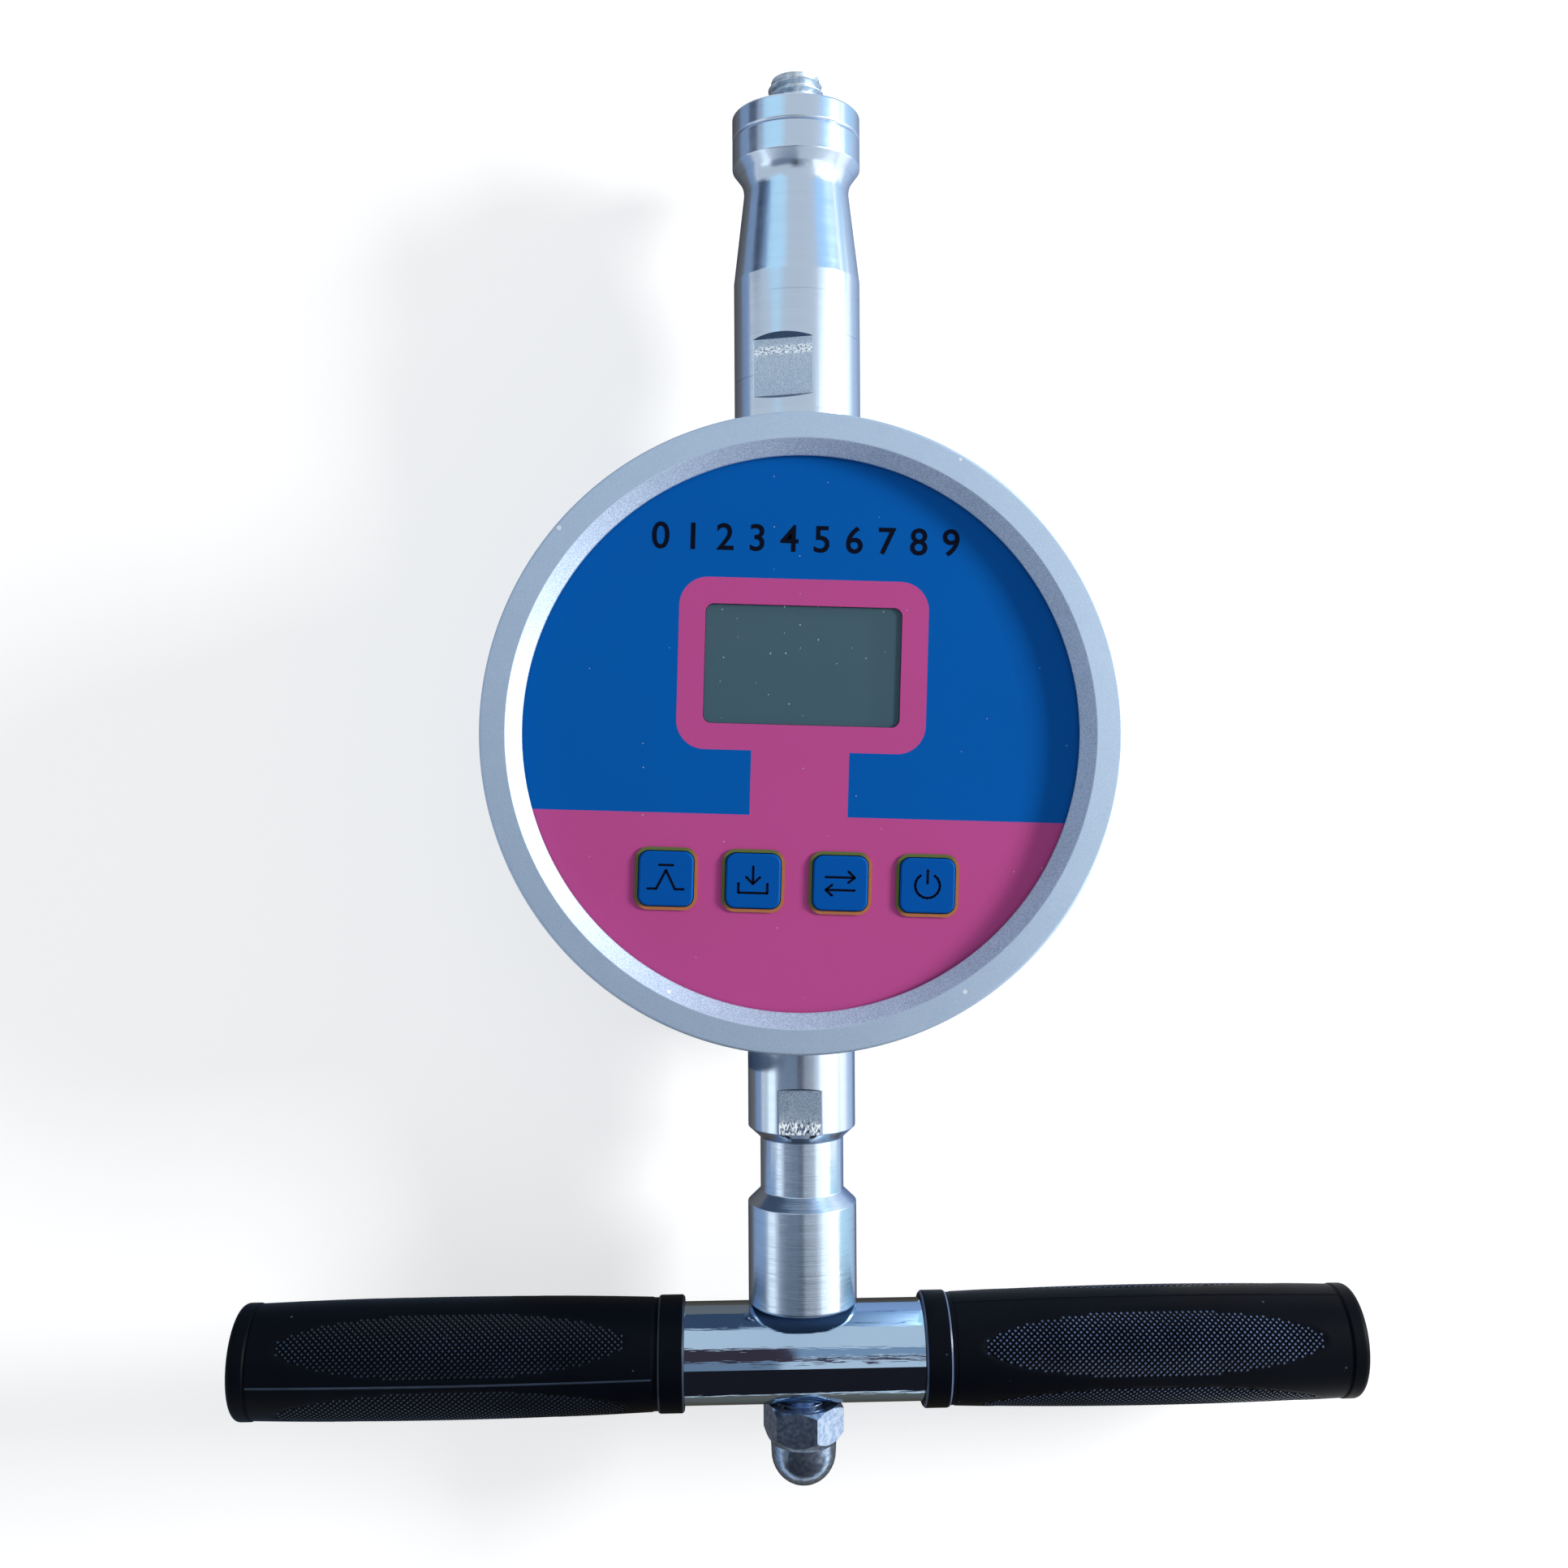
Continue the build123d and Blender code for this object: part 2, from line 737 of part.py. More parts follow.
with BuildPart() as dial_gasket:
    with BuildSketch(Plane.XY.offset(film_front)):
        Circle(plate_radius)
        Circle(dial_radius + gasket_margin, mode=Mode.SUBTRACT)
    extrude(amount=dial_gasket_thickness)
save(dial_gasket, "dial_gasket")

# Dial plate with the window and key openings
with BuildPart() as dial_plate:
    with BuildSketch(Plane.XY.offset(plate_back)):
        Circle(plate_radius)
    extrude(amount=plate_thickness)
    extrude(window_opening(plate_back), amount=plate_thickness, mode=Mode.SUBTRACT)
    extrude(key_holes(plate_back), amount=plate_thickness, mode=Mode.SUBTRACT)
save(dial_plate, "dial_plate")

# Printed dial films, blue above and pink below, cut to each other's outline
with BuildPart() as dial_film_blue:
    with BuildSketch(Plane.XY.offset(plate_front)):
        Circle(plate_radius)
    extrude(amount=film_thickness)
    extrude(pink_outline(), amount=film_thickness, mode=Mode.SUBTRACT)
save(dial_film_blue, "dial_film_blue")

with BuildPart() as dial_film_pink:
    extrude(pink_outline(), amount=film_thickness)
    extrude(window_opening(plate_front), amount=film_thickness, mode=Mode.SUBTRACT)
    extrude(key_holes(plate_front), amount=film_thickness, mode=Mode.SUBTRACT)
save(dial_film_pink, "dial_film_pink")

with BuildPart() as key_frames:
    frame_outer = key_hole + 2 * key_frame_width
    with BuildSketch(dial_plane(film_front)):
        with Locations(*key_places):
            RectangleRounded(frame_outer, frame_outer, key_hole_corner + key_frame_width)
            RectangleRounded(key_hole, key_hole, key_hole_corner, mode=Mode.SUBTRACT)
    extrude(amount=key_frame_thickness)
save(key_frames, "key_frames")

# Clear window pane, flush with the plate
with BuildPart() as window_pane:
    with BuildSketch(dial_plane(plate_back)):
        with Locations(window_place):
            RectangleRounded(window_width - 2 * window_fit, window_height - 2 * window_fit, window_corner)
    extrude(amount=plate_thickness)
save(window_pane, "window_pane")

# Display glass in its holder on the board
lcd_front = plate_back - lcd_gap
lcd_back = lcd_front - lcd_thickness
with BuildPart() as lcd_glass:
    with BuildSketch(dial_plane(lcd_back)):
        with Locations(window_place):
            Rectangle(lcd_width, lcd_height)
    extrude(amount=lcd_thickness)
save(lcd_glass, "lcd_glass")

pocket_width = lcd_width + 2 * lcd_fit
pocket_height = lcd_height + 2 * lcd_fit
with BuildPart() as lcd_holder:
    with BuildSketch(dial_plane(board_front)):
        with Locations(window_place):
            Rectangle(pocket_width + 2 * holder_wall, pocket_height + 2 * holder_wall)
            Rectangle(lcd_width - 2 * holder_ledge, lcd_height - 2 * holder_ledge, mode=Mode.SUBTRACT)
    extrude(amount=lcd_back + holder_rim - board_front)
    with BuildSketch(dial_plane(lcd_back)):
        with Locations(window_place):
            Rectangle(pocket_width, pocket_height)
    extrude(amount=holder_rim, mode=Mode.SUBTRACT)
save(lcd_holder, "lcd_holder")

# Main board on standoffs behind the plate
standoff_circle = board_radius - standoff_inset
standoff_turns = (standoff_angle, 180 - standoff_angle, 180 + standoff_angle, -standoff_angle)
standoff_places = [
    (standoff_circle * cos(radians(turn)), standoff_circle * sin(radians(turn))) for turn in standoff_turns
]
with BuildPart() as main_board:
    with BuildSketch(dial_plane(board_back)):
        Circle(board_radius)
        with Locations(*standoff_places):
            Circle(board_screw_diameter / 2, mode=Mode.SUBTRACT)
    extrude(amount=board_thickness)
save(main_board, "main_board")

with BuildPart() as board_standoffs:
    with BuildSketch(dial_plane(board_front)):
        with Locations(*standoff_places):
            Circle(standoff_diameter / 2)
    extrude(amount=standoff_length)
    with BuildSketch(dial_plane(board_front)):
        with Locations(*standoff_places):
            Circle(board_screw_diameter / 2)
    extrude(amount=board_screw_length - board_thickness + thread_end_gap, mode=Mode.SUBTRACT)
save(board_standoffs, "board_standoffs")

with BuildPart() as board_screws:
    with BuildSketch(dial_plane(board_back)):
        with Locations(*standoff_places):
            Circle(board_screw_head / 2)
    extrude(amount=-board_screw_head_height)
    with BuildSketch(dial_plane(board_back)):
        with Locations(*standoff_places):
            Circle(board_screw_diameter / 2)
    extrude(amount=board_screw_length)
save(board_screws, "board_screws")

with BuildPart() as board_chips:
    with BuildSketch(dial_plane(board_back)):
        with GridLocations(0, chip_pitch, 1, 2):
            Rectangle(chip_size, chip_size)
    extrude(amount=-chip_thickness)
save(board_chips, "board_chips")

# Key switches on the board, and the keys over them
switch_front = board_front + switch_height
plunger_front = switch_front + plunger_proud
plunger_back = switch_front - plunger_depth
with BuildPart() as key_switches:
    with BuildSketch(dial_plane(board_front)):
        with Locations(*key_places):
            Rectangle(switch_size, switch_size)
    extrude(amount=switch_height)
    with BuildSketch(dial_plane(plunger_back - key_travel - plunger_floor)):
        with Locations(*key_places):
            Circle(plunger_diameter / 2 + plunger_fit)
    extrude(amount=switch_height, mode=Mode.SUBTRACT)
save(key_switches, "key_switches")

flange_top = plate_back - key_slack
flange_bottom = flange_top - key_flange_thickness
key_front = film_front + key_proud
for name, place in zip(key_names, key_places):
    with BuildPart() as key:
        with BuildSketch(dial_plane(flange_bottom)):
            with Locations(place):
                RectangleRounded(key_size + 2 * key_flange, key_size + 2 * key_flange, key_corner)
        extrude(amount=key_flange_thickness)
        with BuildSketch(dial_plane(flange_top)):
            with Locations(place):
                RectangleRounded(key_size, key_size, key_corner)
        extrude(amount=key_front - flange_top)
        fillet(key.faces().sort_by(Axis.Z)[-1].edges(), key_top_round)
        with BuildSketch(dial_plane(plunger_front)):
            with Locations(place):
                Circle(key_stem_diameter / 2)
        extrude(amount=flange_bottom - plunger_front)
    save(key, f"key_{name}")
    with BuildPart() as plunger:
        with BuildSketch(dial_plane(plunger_back)):
            with Locations(place):
                Circle(plunger_diameter / 2)
        extrude(amount=plunger_front - plunger_back)
    save(plunger, f"plunger_{name}")

# Load cell: S-shaped block with two slots, linked holes and bores for the stems
hole_radius = cell_hole_diameter / 2
cell_back = axis_height - cell_thickness / 2
cell_front = axis_height + cell_thickness / 2
with BuildPart() as load_cell:
    with BuildSketch(Plane.XY.offset(cell_back)):
        Rectangle(cell_width, cell_height)
        with Locations((-cell_web, cell_slot_rise), (cell_web, -cell_slot_rise)):
            Rectangle(cell_width, cell_slot, mode=Mode.SUBTRACT)
        with GridLocations(cell_hole_pitch, 0, 2, 1):
            Circle(hole_radius, mode=Mode.SUBTRACT)
        Rectangle(cell_hole_pitch, cell_slot, mode=Mode.SUBTRACT)
    extrude(amount=cell_thickness)
    for end in (cell_end, -cell_end):
        with BuildSketch(across_shaft(end)):
            Circle(spigot_diameter / 2)
        extrude(amount=-spigot_depth if end > 0 else spigot_depth, mode=Mode.SUBTRACT)
save(load_cell, "load_cell")

with BuildPart() as cell_covers:
    for height in (cell_front, cell_back - cell_cover_thickness):
        with BuildSketch(Plane.XY.offset(height)):
            Rectangle(cell_cover_width, cell_cover_height)
        extrude(amount=cell_cover_thickness)
save(cell_covers, "cell_covers")

save(hex_nut(cell_end, cell_end + jam_nut_height, jam_nut_across, spigot_diameter), "upper_jam_nut")
save(hex_nut(-cell_end, -cell_end - jam_nut_height, jam_nut_across, spigot_diameter), "lower_jam_nut")
save(hex_nut(-boss_face, case_nut_inner, case_nut_across, case_thread_diameter), "case_nut")

# Cable gland on the cell and the connectors behind the board
gland_plane = Plane(origin=(cell_width / 2, -gland_drop, axis_height), x_dir=(0, 1, 0), z_dir=(1, 0, 0))
with BuildPart() as cell_gland:
    with BuildSketch(gland_plane):
        Circle(gland_diameter / 2)
        Circle(cable_diameter / 2, mode=Mode.SUBTRACT)
    extrude(amount=gland_length)
save(cell_gland, "cell_gland")

cradle_width = battery_diameter + 2 * (battery_fit + cradle_wall)
battery_side = sqrt((case_bore - cradle_clearance) ** 2 - (battery_length / 2) ** 2) - cradle_width / 2
battery_height = cover_thickness + cradle_floor + battery_fit + battery_diameter / 2
connector_back = board_back - connector_height
connector_side = cell_width / 2 + connector_width
cable_place = (battery_side, -gland_drop / 2)
lead_places = [(side * connector_side, battery_length / 2) for side in (-1, 1)]
with BuildPart() as board_connectors:
    with BuildSketch(Plane.XY.offset(connector_back)):
        with Locations(cable_place, *lead_places):
            Rectangle(connector_width, connector_length)
    extrude(amount=connector_height)
save(board_connectors, "board_connectors")

cable_route = [
    (cell_width / 2, -gland_drop, axis_height),
    (cable_place[0], -gland_drop, axis_height),
    (cable_place[0], cable_place[1], axis_height),
    (cable_place[0], cable_place[1], connector_back),
]
save(wire(cable_route, cable_diameter, cable_bend), "cell_cable")

# Batteries in cradles on the back cover, and a lead from each to the board
battery_plane = Plane(origin=(0, battery_length / 2, battery_height), x_dir=(1, 0, 0), z_dir=(0, 1, 0))
with BuildPart() as battery_cradles:
    with BuildSketch(Plane.XY.offset(cover_thickness)):
        with GridLocations(2 * battery_side, 0, 2, 1):
            Rectangle(cradle_width, battery_length)
    extrude(amount=cradle_height)
    with BuildSketch(battery_plane):
        with GridLocations(2 * battery_side, 0, 2, 1):
            Circle(battery_diameter / 2 + battery_fit)
    extrude(amount=-battery_length, mode=Mode.SUBTRACT)
save(battery_cradles, "battery_cradles")

with BuildPart() as batteries:
    with BuildSketch(battery_plane):
        with GridLocations(2 * battery_side, 0, 2, 1):
            Circle(battery_diameter / 2)
    extrude(amount=-battery_length)
save(batteries, "batteries")

battery_end = battery_length / 2
lead_knee = battery_end + lead_rise
right_route = [
    (battery_side, battery_end, battery_height),
    (battery_side, lead_knee, battery_height),
    (connector_side, lead_knee, axis_height),
    (connector_side, battery_end, axis_height),
    (connector_side, battery_end, connector_back),
]
right_lead = wire(right_route, lead_diameter, lead_bend)
with BuildPart() as battery_leads:
    add(right_lead.part)
    mirror(about=Plane.YZ)
save(battery_leads, "battery_leads")

# Data socket in the case wall, its nut and its lead to the board
with BuildPart() as data_socket:
    with BuildSketch(socket_plane):
        Circle(socket_flange_diameter / 2)
    extrude(amount=socket_flange_thickness)
    with BuildSketch(socket_plane):
        Circle(socket_diameter / 2)
    extrude(amount=-socket_length)
    with BuildSketch(socket_plane.offset(socket_flange_thickness)):
        SlotOverall(socket_slot_width, socket_slot_height)
        Rectangle(socket_tongue_width, socket_tongue_height, mode=Mode.SUBTRACT)
    extrude(amount=-socket_slot_depth, mode=Mode.SUBTRACT)
save(data_socket, "data_socket")

nut_reach = sqrt(case_bore**2 - (socket_nut_across / 2 / cos(radians(30))) ** 2)
with BuildPart() as socket_nut:
    with BuildSketch(Plane(origin=(-nut_reach, 0, socket_height), x_dir=(0, 1, 0), z_dir=(1, 0, 0))):
        RegularPolygon(socket_nut_across / 2, 6, major_radius=False)
        Circle(socket_diameter / 2, mode=Mode.SUBTRACT)
    extrude(amount=socket_nut_height)
save(socket_nut, "socket_nut")

socket_rear = socket_seat - socket_length
socket_lead_rise = board_back - socket_height
socket_lead_place = socket_lead_rise - socket_rear
socket_route = [
    (-socket_rear, 0, socket_height),
    (socket_lead_place, 0, socket_height),
    (socket_lead_place, 0, board_back),
]
save(wire(socket_route, lead_diameter, lead_bend), "socket_lead")
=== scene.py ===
# %% [markdown]
# This lesson dresses a foundation bearing capacity tester: a round digital gauge with a stem for the probe
# rod on one side and a T-handle with rubber grips on the other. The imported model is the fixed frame. Every
# new piece is modelled around it in metres, so nothing has to be fitted afterwards.

# %% Load the frame
import json
import bmesh
import bpy
from math import ceil, cos, hypot, pi, radians, sin, sqrt, tan
from mathutils import Matrix, Vector


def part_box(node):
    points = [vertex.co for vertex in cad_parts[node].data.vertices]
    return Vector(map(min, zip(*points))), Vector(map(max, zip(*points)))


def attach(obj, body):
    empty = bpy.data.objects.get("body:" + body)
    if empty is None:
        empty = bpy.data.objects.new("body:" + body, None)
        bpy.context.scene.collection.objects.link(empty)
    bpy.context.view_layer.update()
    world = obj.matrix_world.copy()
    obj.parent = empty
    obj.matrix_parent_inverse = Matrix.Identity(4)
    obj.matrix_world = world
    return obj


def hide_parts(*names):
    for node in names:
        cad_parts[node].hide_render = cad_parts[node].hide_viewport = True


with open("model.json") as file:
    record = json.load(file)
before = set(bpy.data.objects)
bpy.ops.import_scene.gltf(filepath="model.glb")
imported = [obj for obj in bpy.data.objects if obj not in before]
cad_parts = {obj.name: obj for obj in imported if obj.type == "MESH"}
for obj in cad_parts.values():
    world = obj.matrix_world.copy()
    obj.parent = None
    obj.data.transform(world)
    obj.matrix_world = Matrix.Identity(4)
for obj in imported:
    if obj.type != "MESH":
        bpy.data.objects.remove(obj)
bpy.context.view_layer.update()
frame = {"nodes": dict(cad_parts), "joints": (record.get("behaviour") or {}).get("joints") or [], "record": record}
scene = bpy.context.scene
mm = 0.001
joints = {joint["name"]: joint for joint in frame["joints"]}
swivel_place = Vector(joints["handle_swivel"]["pos_m"])
bar_centre = swivel_place.y
shaft_height = swivel_place.z
print("nodes", len(frame["nodes"]), "shaft height", shaft_height, "bar centre", bar_centre)

# %% [markdown]
# The photograph was taken from straight above with a phone, so the head lies flat and the perspective is
# strong: the bezel, which is nearer, looks larger than the handle. A camera at arm's length with a
# wide lens gives the same picture. A turn of a third of a degree matches the tilt of the shaft.

# %% Camera of the photograph
camera_data = bpy.data.cameras.new("photo_camera")
camera_data.sensor_width = 36.0
camera_data.lens = 35.4
camera = bpy.data.objects.new("photo_camera", camera_data)
camera.location = (-4.0 * mm, -11.7 * mm, 422.6 * mm)
camera.rotation_euler = (0, 0, radians(-0.34))
scene.collection.objects.link(camera)
scene.camera = camera
scene.view_settings.view_transform = "Standard"
print("camera height", camera.location.z)

# %% [markdown]
# Shader maths reads best as plain arithmetic. This class wraps one output socket, and adding, multiplying or
# comparing wrapped sockets places the Math nodes. The method named node places any other kind: its settings
# are set first, then its sockets get their values or links. The textures are short methods built on it.

# %% Shader maths
def placed(operation, backward=False):
    """A method that places a Math node. Backward is for a plain number on the left, as in 1 - socket."""
    if backward:
        return lambda self, other: self.math(operation, other, self)
    return lambda self, other: self.math(operation, self, other)


class Shade:
    """An output socket of a node tree, which arithmetic turns into Math nodes."""

    def __init__(self, tree, socket=None):
        self.tree = tree
        self.socket = socket

    def node(self, kind, settings=(), sockets=(), output=0):
        made = self.tree.nodes.new("ShaderNode" + kind)
        for name, value in dict(settings).items():
            setattr(made, name, value)
        for name, value in dict(sockets).items():
            if isinstance(value, Shade):
                self.tree.links.new(value.socket, made.inputs[name])
            else:
                made.inputs[name].default_value = value
        return Shade(self.tree, made.outputs[output] if len(made.outputs) else None)

    def math(self, operation, first, second=0.0):
        return self.node("Math", {"operation": operation}, {0: first, 1: second})

    __add__, __radd__ = placed("ADD"), placed("ADD", True)
    __sub__, __rsub__ = placed("SUBTRACT"), placed("SUBTRACT", True)
    __mul__, __rmul__ = placed("MULTIPLY"), placed("MULTIPLY", True)
    __mod__, __lt__, __or__ = placed("FLOORED_MODULO"), placed("LESS_THAN"), placed("MAXIMUM")

    def __abs__(self):
        return self.math("ABSOLUTE", self)

    def ramp(self, low, high):
        """0 below low, 1 above high and a smooth step between."""
        sockets = {"Value": self, "From Min": low, "From Max": high}
        return self.node("MapRange", {"interpolation_type": "SMOOTHSTEP"}, sockets)

    def axis(self, name):
        return self.node("SeparateXYZ", {}, {0: self}, name)

    def stretched(self, scale):
        return self.node("Mapping", {}, {"Vector": self, "Scale": scale})

    def tint(self, first, second):
        """The first colour where this value is 0 and the second where it is 1."""
        return self.node("Mix", {"data_type": "RGBA"}, {0: self, 6: first, 7: second}, 2)

    def noise(self, scale, detail=2.0, roughness=0.5):
        sockets = {"Vector": self, "Scale": scale, "Detail": detail, "Roughness": roughness}
        return self.node("TexNoise", {}, sockets)

    def line_noise(self, scale, detail=2.0):
        """Noise that changes along one direction only, as feed marks do."""
        sockets = {"W": self, "Scale": scale, "Detail": detail}
        return self.node("TexNoise", {"noise_dimensions": "1D"}, sockets)

    def bump(self, depth):
        """Surface normal from a height map of 0 to 1, as deep as the given length."""
        return self.node("Bump", {}, {"Height": self, "Distance": depth, "Strength": 1.0})

    def specks(self, scale, size, share, flat=False):
        """Small round specks, such as dust: 1 on a speck, else 0. Only a share of the cells has one."""
        settings = {"voronoi_dimensions": "2D" if flat else "3D"}
        sockets = {"Vector": self, "Scale": scale}
        distance = self.node("TexVoronoi", settings, sockets, "Distance")
        draw = self.node("TexVoronoi", settings, sockets, "Color")
        lots = self.node("SeparateColor", {}, {0: draw}, "Red")
        sizes = self.node("SeparateColor", {}, {0: draw}, "Green")
        return (distance < size * (0.4 + 0.6 * sizes)) * (lots < share)


def srgb(red, green, blue):
    """A colour as it is picked on screen, 0 to 255, turned into linear light."""
    parts = [part / 255 for part in (red, green, blue)]
    return [p / 12.92 if p <= 0.04045 else ((p + 0.055) / 1.055) ** 2.4 for p in parts] + [1.0]


def new_finish(name):
    """A new material and the start of its node tree."""
    material = bpy.data.materials.new(name)
    material.use_nodes = True
    material.node_tree.nodes.clear()
    return material, Shade(material.node_tree)


def textured_finish(name):
    """A new material and the object's own coordinates, which its textures start from."""
    material, shade = new_finish(name)
    return material, shade.node("TexCoord", output="Object")


def close_finish(material, **sockets):
    """Principled shader on the material's output. Names are written with _ for the spaces."""
    shade = Shade(material.node_tree)
    named = {name.replace("_", " "): value for name, value in sockets.items()}
    surface = shade.node("BsdfPrincipled", {}, named)
    shade.node("OutputMaterial", {}, {"Surface": surface})
    return material


print("shader helpers ready")

# %% [markdown]
# The studio is a white table with one large soft lamp on the right, where the window was, and an even world
# for the rest. Polished metal only shows what surrounds it, so a photographer sets up cards for the
# reflections. They are seen in reflections alone: dark ones where the photographer stands and holds the
# camera, pale and blue ones on both sides, and dark or bluish flags that lie on the table. The dark flags
# beside the shaft, the gauge and the bar and in front, and a dark card before the case, are painted shadow:
# they lie where the object and the photographer shade the table and the case.

# %% Table and world
table_size = 40.0
table_lift = 0.6
sky_light = 0.46
sky_seen = 0.64


def mesh_object(name, bm):
    """A new object in the scene, made from a bmesh that isn't needed any more."""
    mesh = bpy.data.meshes.new(name)
    bm.to_mesh(mesh)
    bm.free()
    made = bpy.data.objects.new(name, mesh)
    scene.collection.objects.link(made)
    return made


def seen_directly(shade):
    """1 on rays from the camera and on its reflections and refractions, and 0 on rays of stray light."""
    seen = shade.node("LightPath", output="Is Camera Ray") | shade.node("LightPath", output="Is Glossy Ray")
    return seen | shade.node("LightPath", output="Is Transmission Ray")


bm = bmesh.new()
bmesh.ops.create_grid(bm, x_segments=1, y_segments=1, size=table_size / 2)
table = mesh_object("table", bm)

table_white, shade = new_finish("table_white")
matte = shade.node("BsdfDiffuse", {}, {"Color": (0.6, 0.6, 0.6, 1)})
lift = shade.node("Emission", {}, {"Color": (1, 1, 1, 1), "Strength": seen_directly(shade) * table_lift})
both = shade.node("AddShader", {}, {0: matte, 1: lift})
shade.node("OutputMaterial", {}, {"Surface": both})
table.data.materials.append(table_white)

world = bpy.data.worlds.new("studio")
world.use_nodes = True
world.node_tree.nodes.clear()
shade = Shade(world.node_tree)
level = sky_light + seen_directly(shade) * (sky_seen - sky_light)
sky = shade.node("Background", {}, {"Color": (0.94, 0.99, 1.05, 1), "Strength": level})
shade.node("OutputWorld", {}, {"Surface": sky})
scene.world = world
print("table", table_size, "m")

# %% Lamp and reflection cards
lamp_data = bpy.data.lights.new("window_lamp", "AREA")
lamp_data.shape = "RECTANGLE"
lamp_data.size = 0.5
lamp_data.size_y = 0.21
lamp_data.energy = 30.0
lamp_data.color = (1.0, 0.98, 0.94)
lamp = bpy.data.objects.new("window_lamp", lamp_data)
lamp.location = (1.39, 0.296, 0.536)
lamp.rotation_euler = (Vector((0, 0, 0.06)) - lamp.location).to_track_quat("-Z", "Y").to_euler()
scene.collection.objects.link(lamp)


def reflection_card(name, width, height, place, target, colour):
    """A glowing card that is seen in reflections only, turned to its target."""
    bm = bmesh.new()
    bmesh.ops.create_grid(bm, x_segments=1, y_segments=1, size=0.5)
    bmesh.ops.scale(bm, vec=(width, height, 1), verts=bm.verts)
    card = mesh_object(name, bm)
    card.location = place
    card.rotation_euler = (Vector(target) - Vector(place)).to_track_quat("Z", "Y").to_euler()
    material, shade = new_finish(name)
    glow = shade.node("Emission", {}, {"Color": (*colour, 1), "Strength": 1.0})
    shade.node("OutputMaterial", {}, {"Surface": glow})
    card.data.materials.append(material)
    card.visible_camera = False
    card.visible_diffuse = False
    card.visible_shadow = False


# Name, width, height, place, target and colour
cards = [
    ("front_card", 0.17, 0.16, (0, -0.22, 0.122), (0, 0, 0.122), (0.014, 0.012, 0.016)),
    ("camera_card", 0.09, 0.223, (-0.015, -0.0645, 0.44), (-0.015, -0.064, 0), (0.055, 0.036, 0.048)),
    ("hand_card", 0.39, 0.09, (-0.255, -0.085, 0.44), (-0.255, -0.084, 0), (0.08, 0.13, 0.19)),
    ("sleeve_card", 0.09, 0.15, (0.075, -0.045, 0.44), (0.075, -0.044, 0), (0.26, 0.33, 0.42)),
    ("strap_card", 0.17, 0.04, (0.115, -0.156, 0.44), (0.115, -0.155, 0), (0.08, 0.065, 0.09)),
    ("arm_card", 0.73, 0.40, (-0.335, -0.35, 0.55), (-0.335, -0.349, 0), (0.19, 0.235, 0.30)),
    ("window_card", 1.13, 0.9, (0.9, -0.145, 0.52), (0, -0.145, 0.03), (1.4, 1.45, 1.5)),
    ("blue_end_card", 0.6, 0.7, (0.75, 0.75, 0.42), (0, 0.13, 0.03), (0.42, 0.70, 1.0)),
    ("pale_card", 0.30, 0.21, (-0.62, -0.29, 0.295), (0, -0.1, 0.03), (1.2, 1.3, 1.35)),
    ("navy_card", 0.30, 0.24, (-0.6, 0.5, 0.12), (0, 0.15, 0.12), (0.03, 0.05, 0.10)),
    ("dusk_card", 0.26, 0.16, (-0.55, 0.56, 0.30), (0, 0.15, 0.2), (0.10, 0.20, 0.40)),
    ("sky_card", 0.34, 0.40, (-0.40, 0.46, 0.49), (0, 0.15, 0.03), (0.60, 0.86, 1.0)),
    # Painted shadow: dark sheets where the shaft, the gauge, the bar and the photographer shade the table.
    ("shaft_painted_shadow", 0.08, 0.40, (-0.04, 0.0, 0.001), (-0.04, 0.001, 1), (0.18, 0.17, 0.165)),
    ("gauge_painted_shadow", 0.11, 0.21, (-0.055, 0.0, 0.0005), (-0.055, 0.001, 1), (0.10, 0.09, 0.08)),
    ("bar_painted_shadow", 0.064, 0.045, (0.0, -0.1475, 0.0015), (0.0, -0.1465, 1), (0.13, 0.11, 0.09)),
    ("front_painted_shadow", 0.24, 1.2, (0.0, -0.77, 0.0015), (0.0, -0.769, 1), (0.16, 0.145, 0.12)),
    ("left_flag", 0.50, 1.00, (-0.33, 0.05, 0.001), (-0.33, 0.051, 1), (0.24, 0.33, 0.48)),
    ("collar_flag", 0.04, 0.075, (0.02, -0.0875, 0.0012), (0.02, -0.0865, 1), (0.30, 0.39, 0.58)),
    ("right_flag", 0.085, 0.35, (0.0575, 0.005, 0.0008), (0.0575, 0.006, 1), (0.63, 0.75, 0.92)),
    ("far_flag", 0.48, 0.32, (0.26, 0.34, 0.0008), (0.26, 0.341, 1), (0.55, 0.80, 1.0)),
    # Painted shade: a dark card where the case's side lies in shade.
    ("case_painted_shade", 0.06, 0.05, (-0.045, -0.084, 0.035), (-0.045, -1, 0.035), (0.05, 0.075, 0.12)),
    ("left_post_card", 0.03, 0.0215, (-0.031, -0.1265, 0.0328), (1, -0.1265, 0.0328), (0.28, 0.38, 0.54)),
    ("right_post_card", 0.03, 0.0215, (0.033, -0.1265, 0.0328), (-1, -0.1265, 0.0328), (0.55, 0.80, 0.90)),
]
for card in cards:
    reflection_card(*card)
print("lamp", lamp_data.energy, "W, cards", len(cards))

# %% [markdown]
# The metal parts each have their own finish. Turned aluminium carries the marks of the lathe's feed, which
# run round the stem and never along it, so the pattern is noise along the shaft alone. The marks are finer
# than a pixel, where a bump map fades, so the noise leans the surface normal along the shaft instead. That
# spreads the reflections lengthwise, and a slow waver to the side gives turned metal its long straight
# streaks. The handle post was turned with a coarser feed.

# %% Turned aluminium
side_lean = 0.08


def leaned_normal(lean, drift=0.0):
    """The surface normal, leaned along the shaft and sideways by small amounts."""
    shift = lean.node("CombineXYZ", {}, {"X": drift, "Y": lean})
    normal = lean.node("NewGeometry", output="Normal")
    leaned = lean.node("VectorMath", {"operation": "ADD"}, {0: normal, 1: shift})
    return lean.node("VectorMath", {"operation": "NORMALIZE"}, {0: leaned})


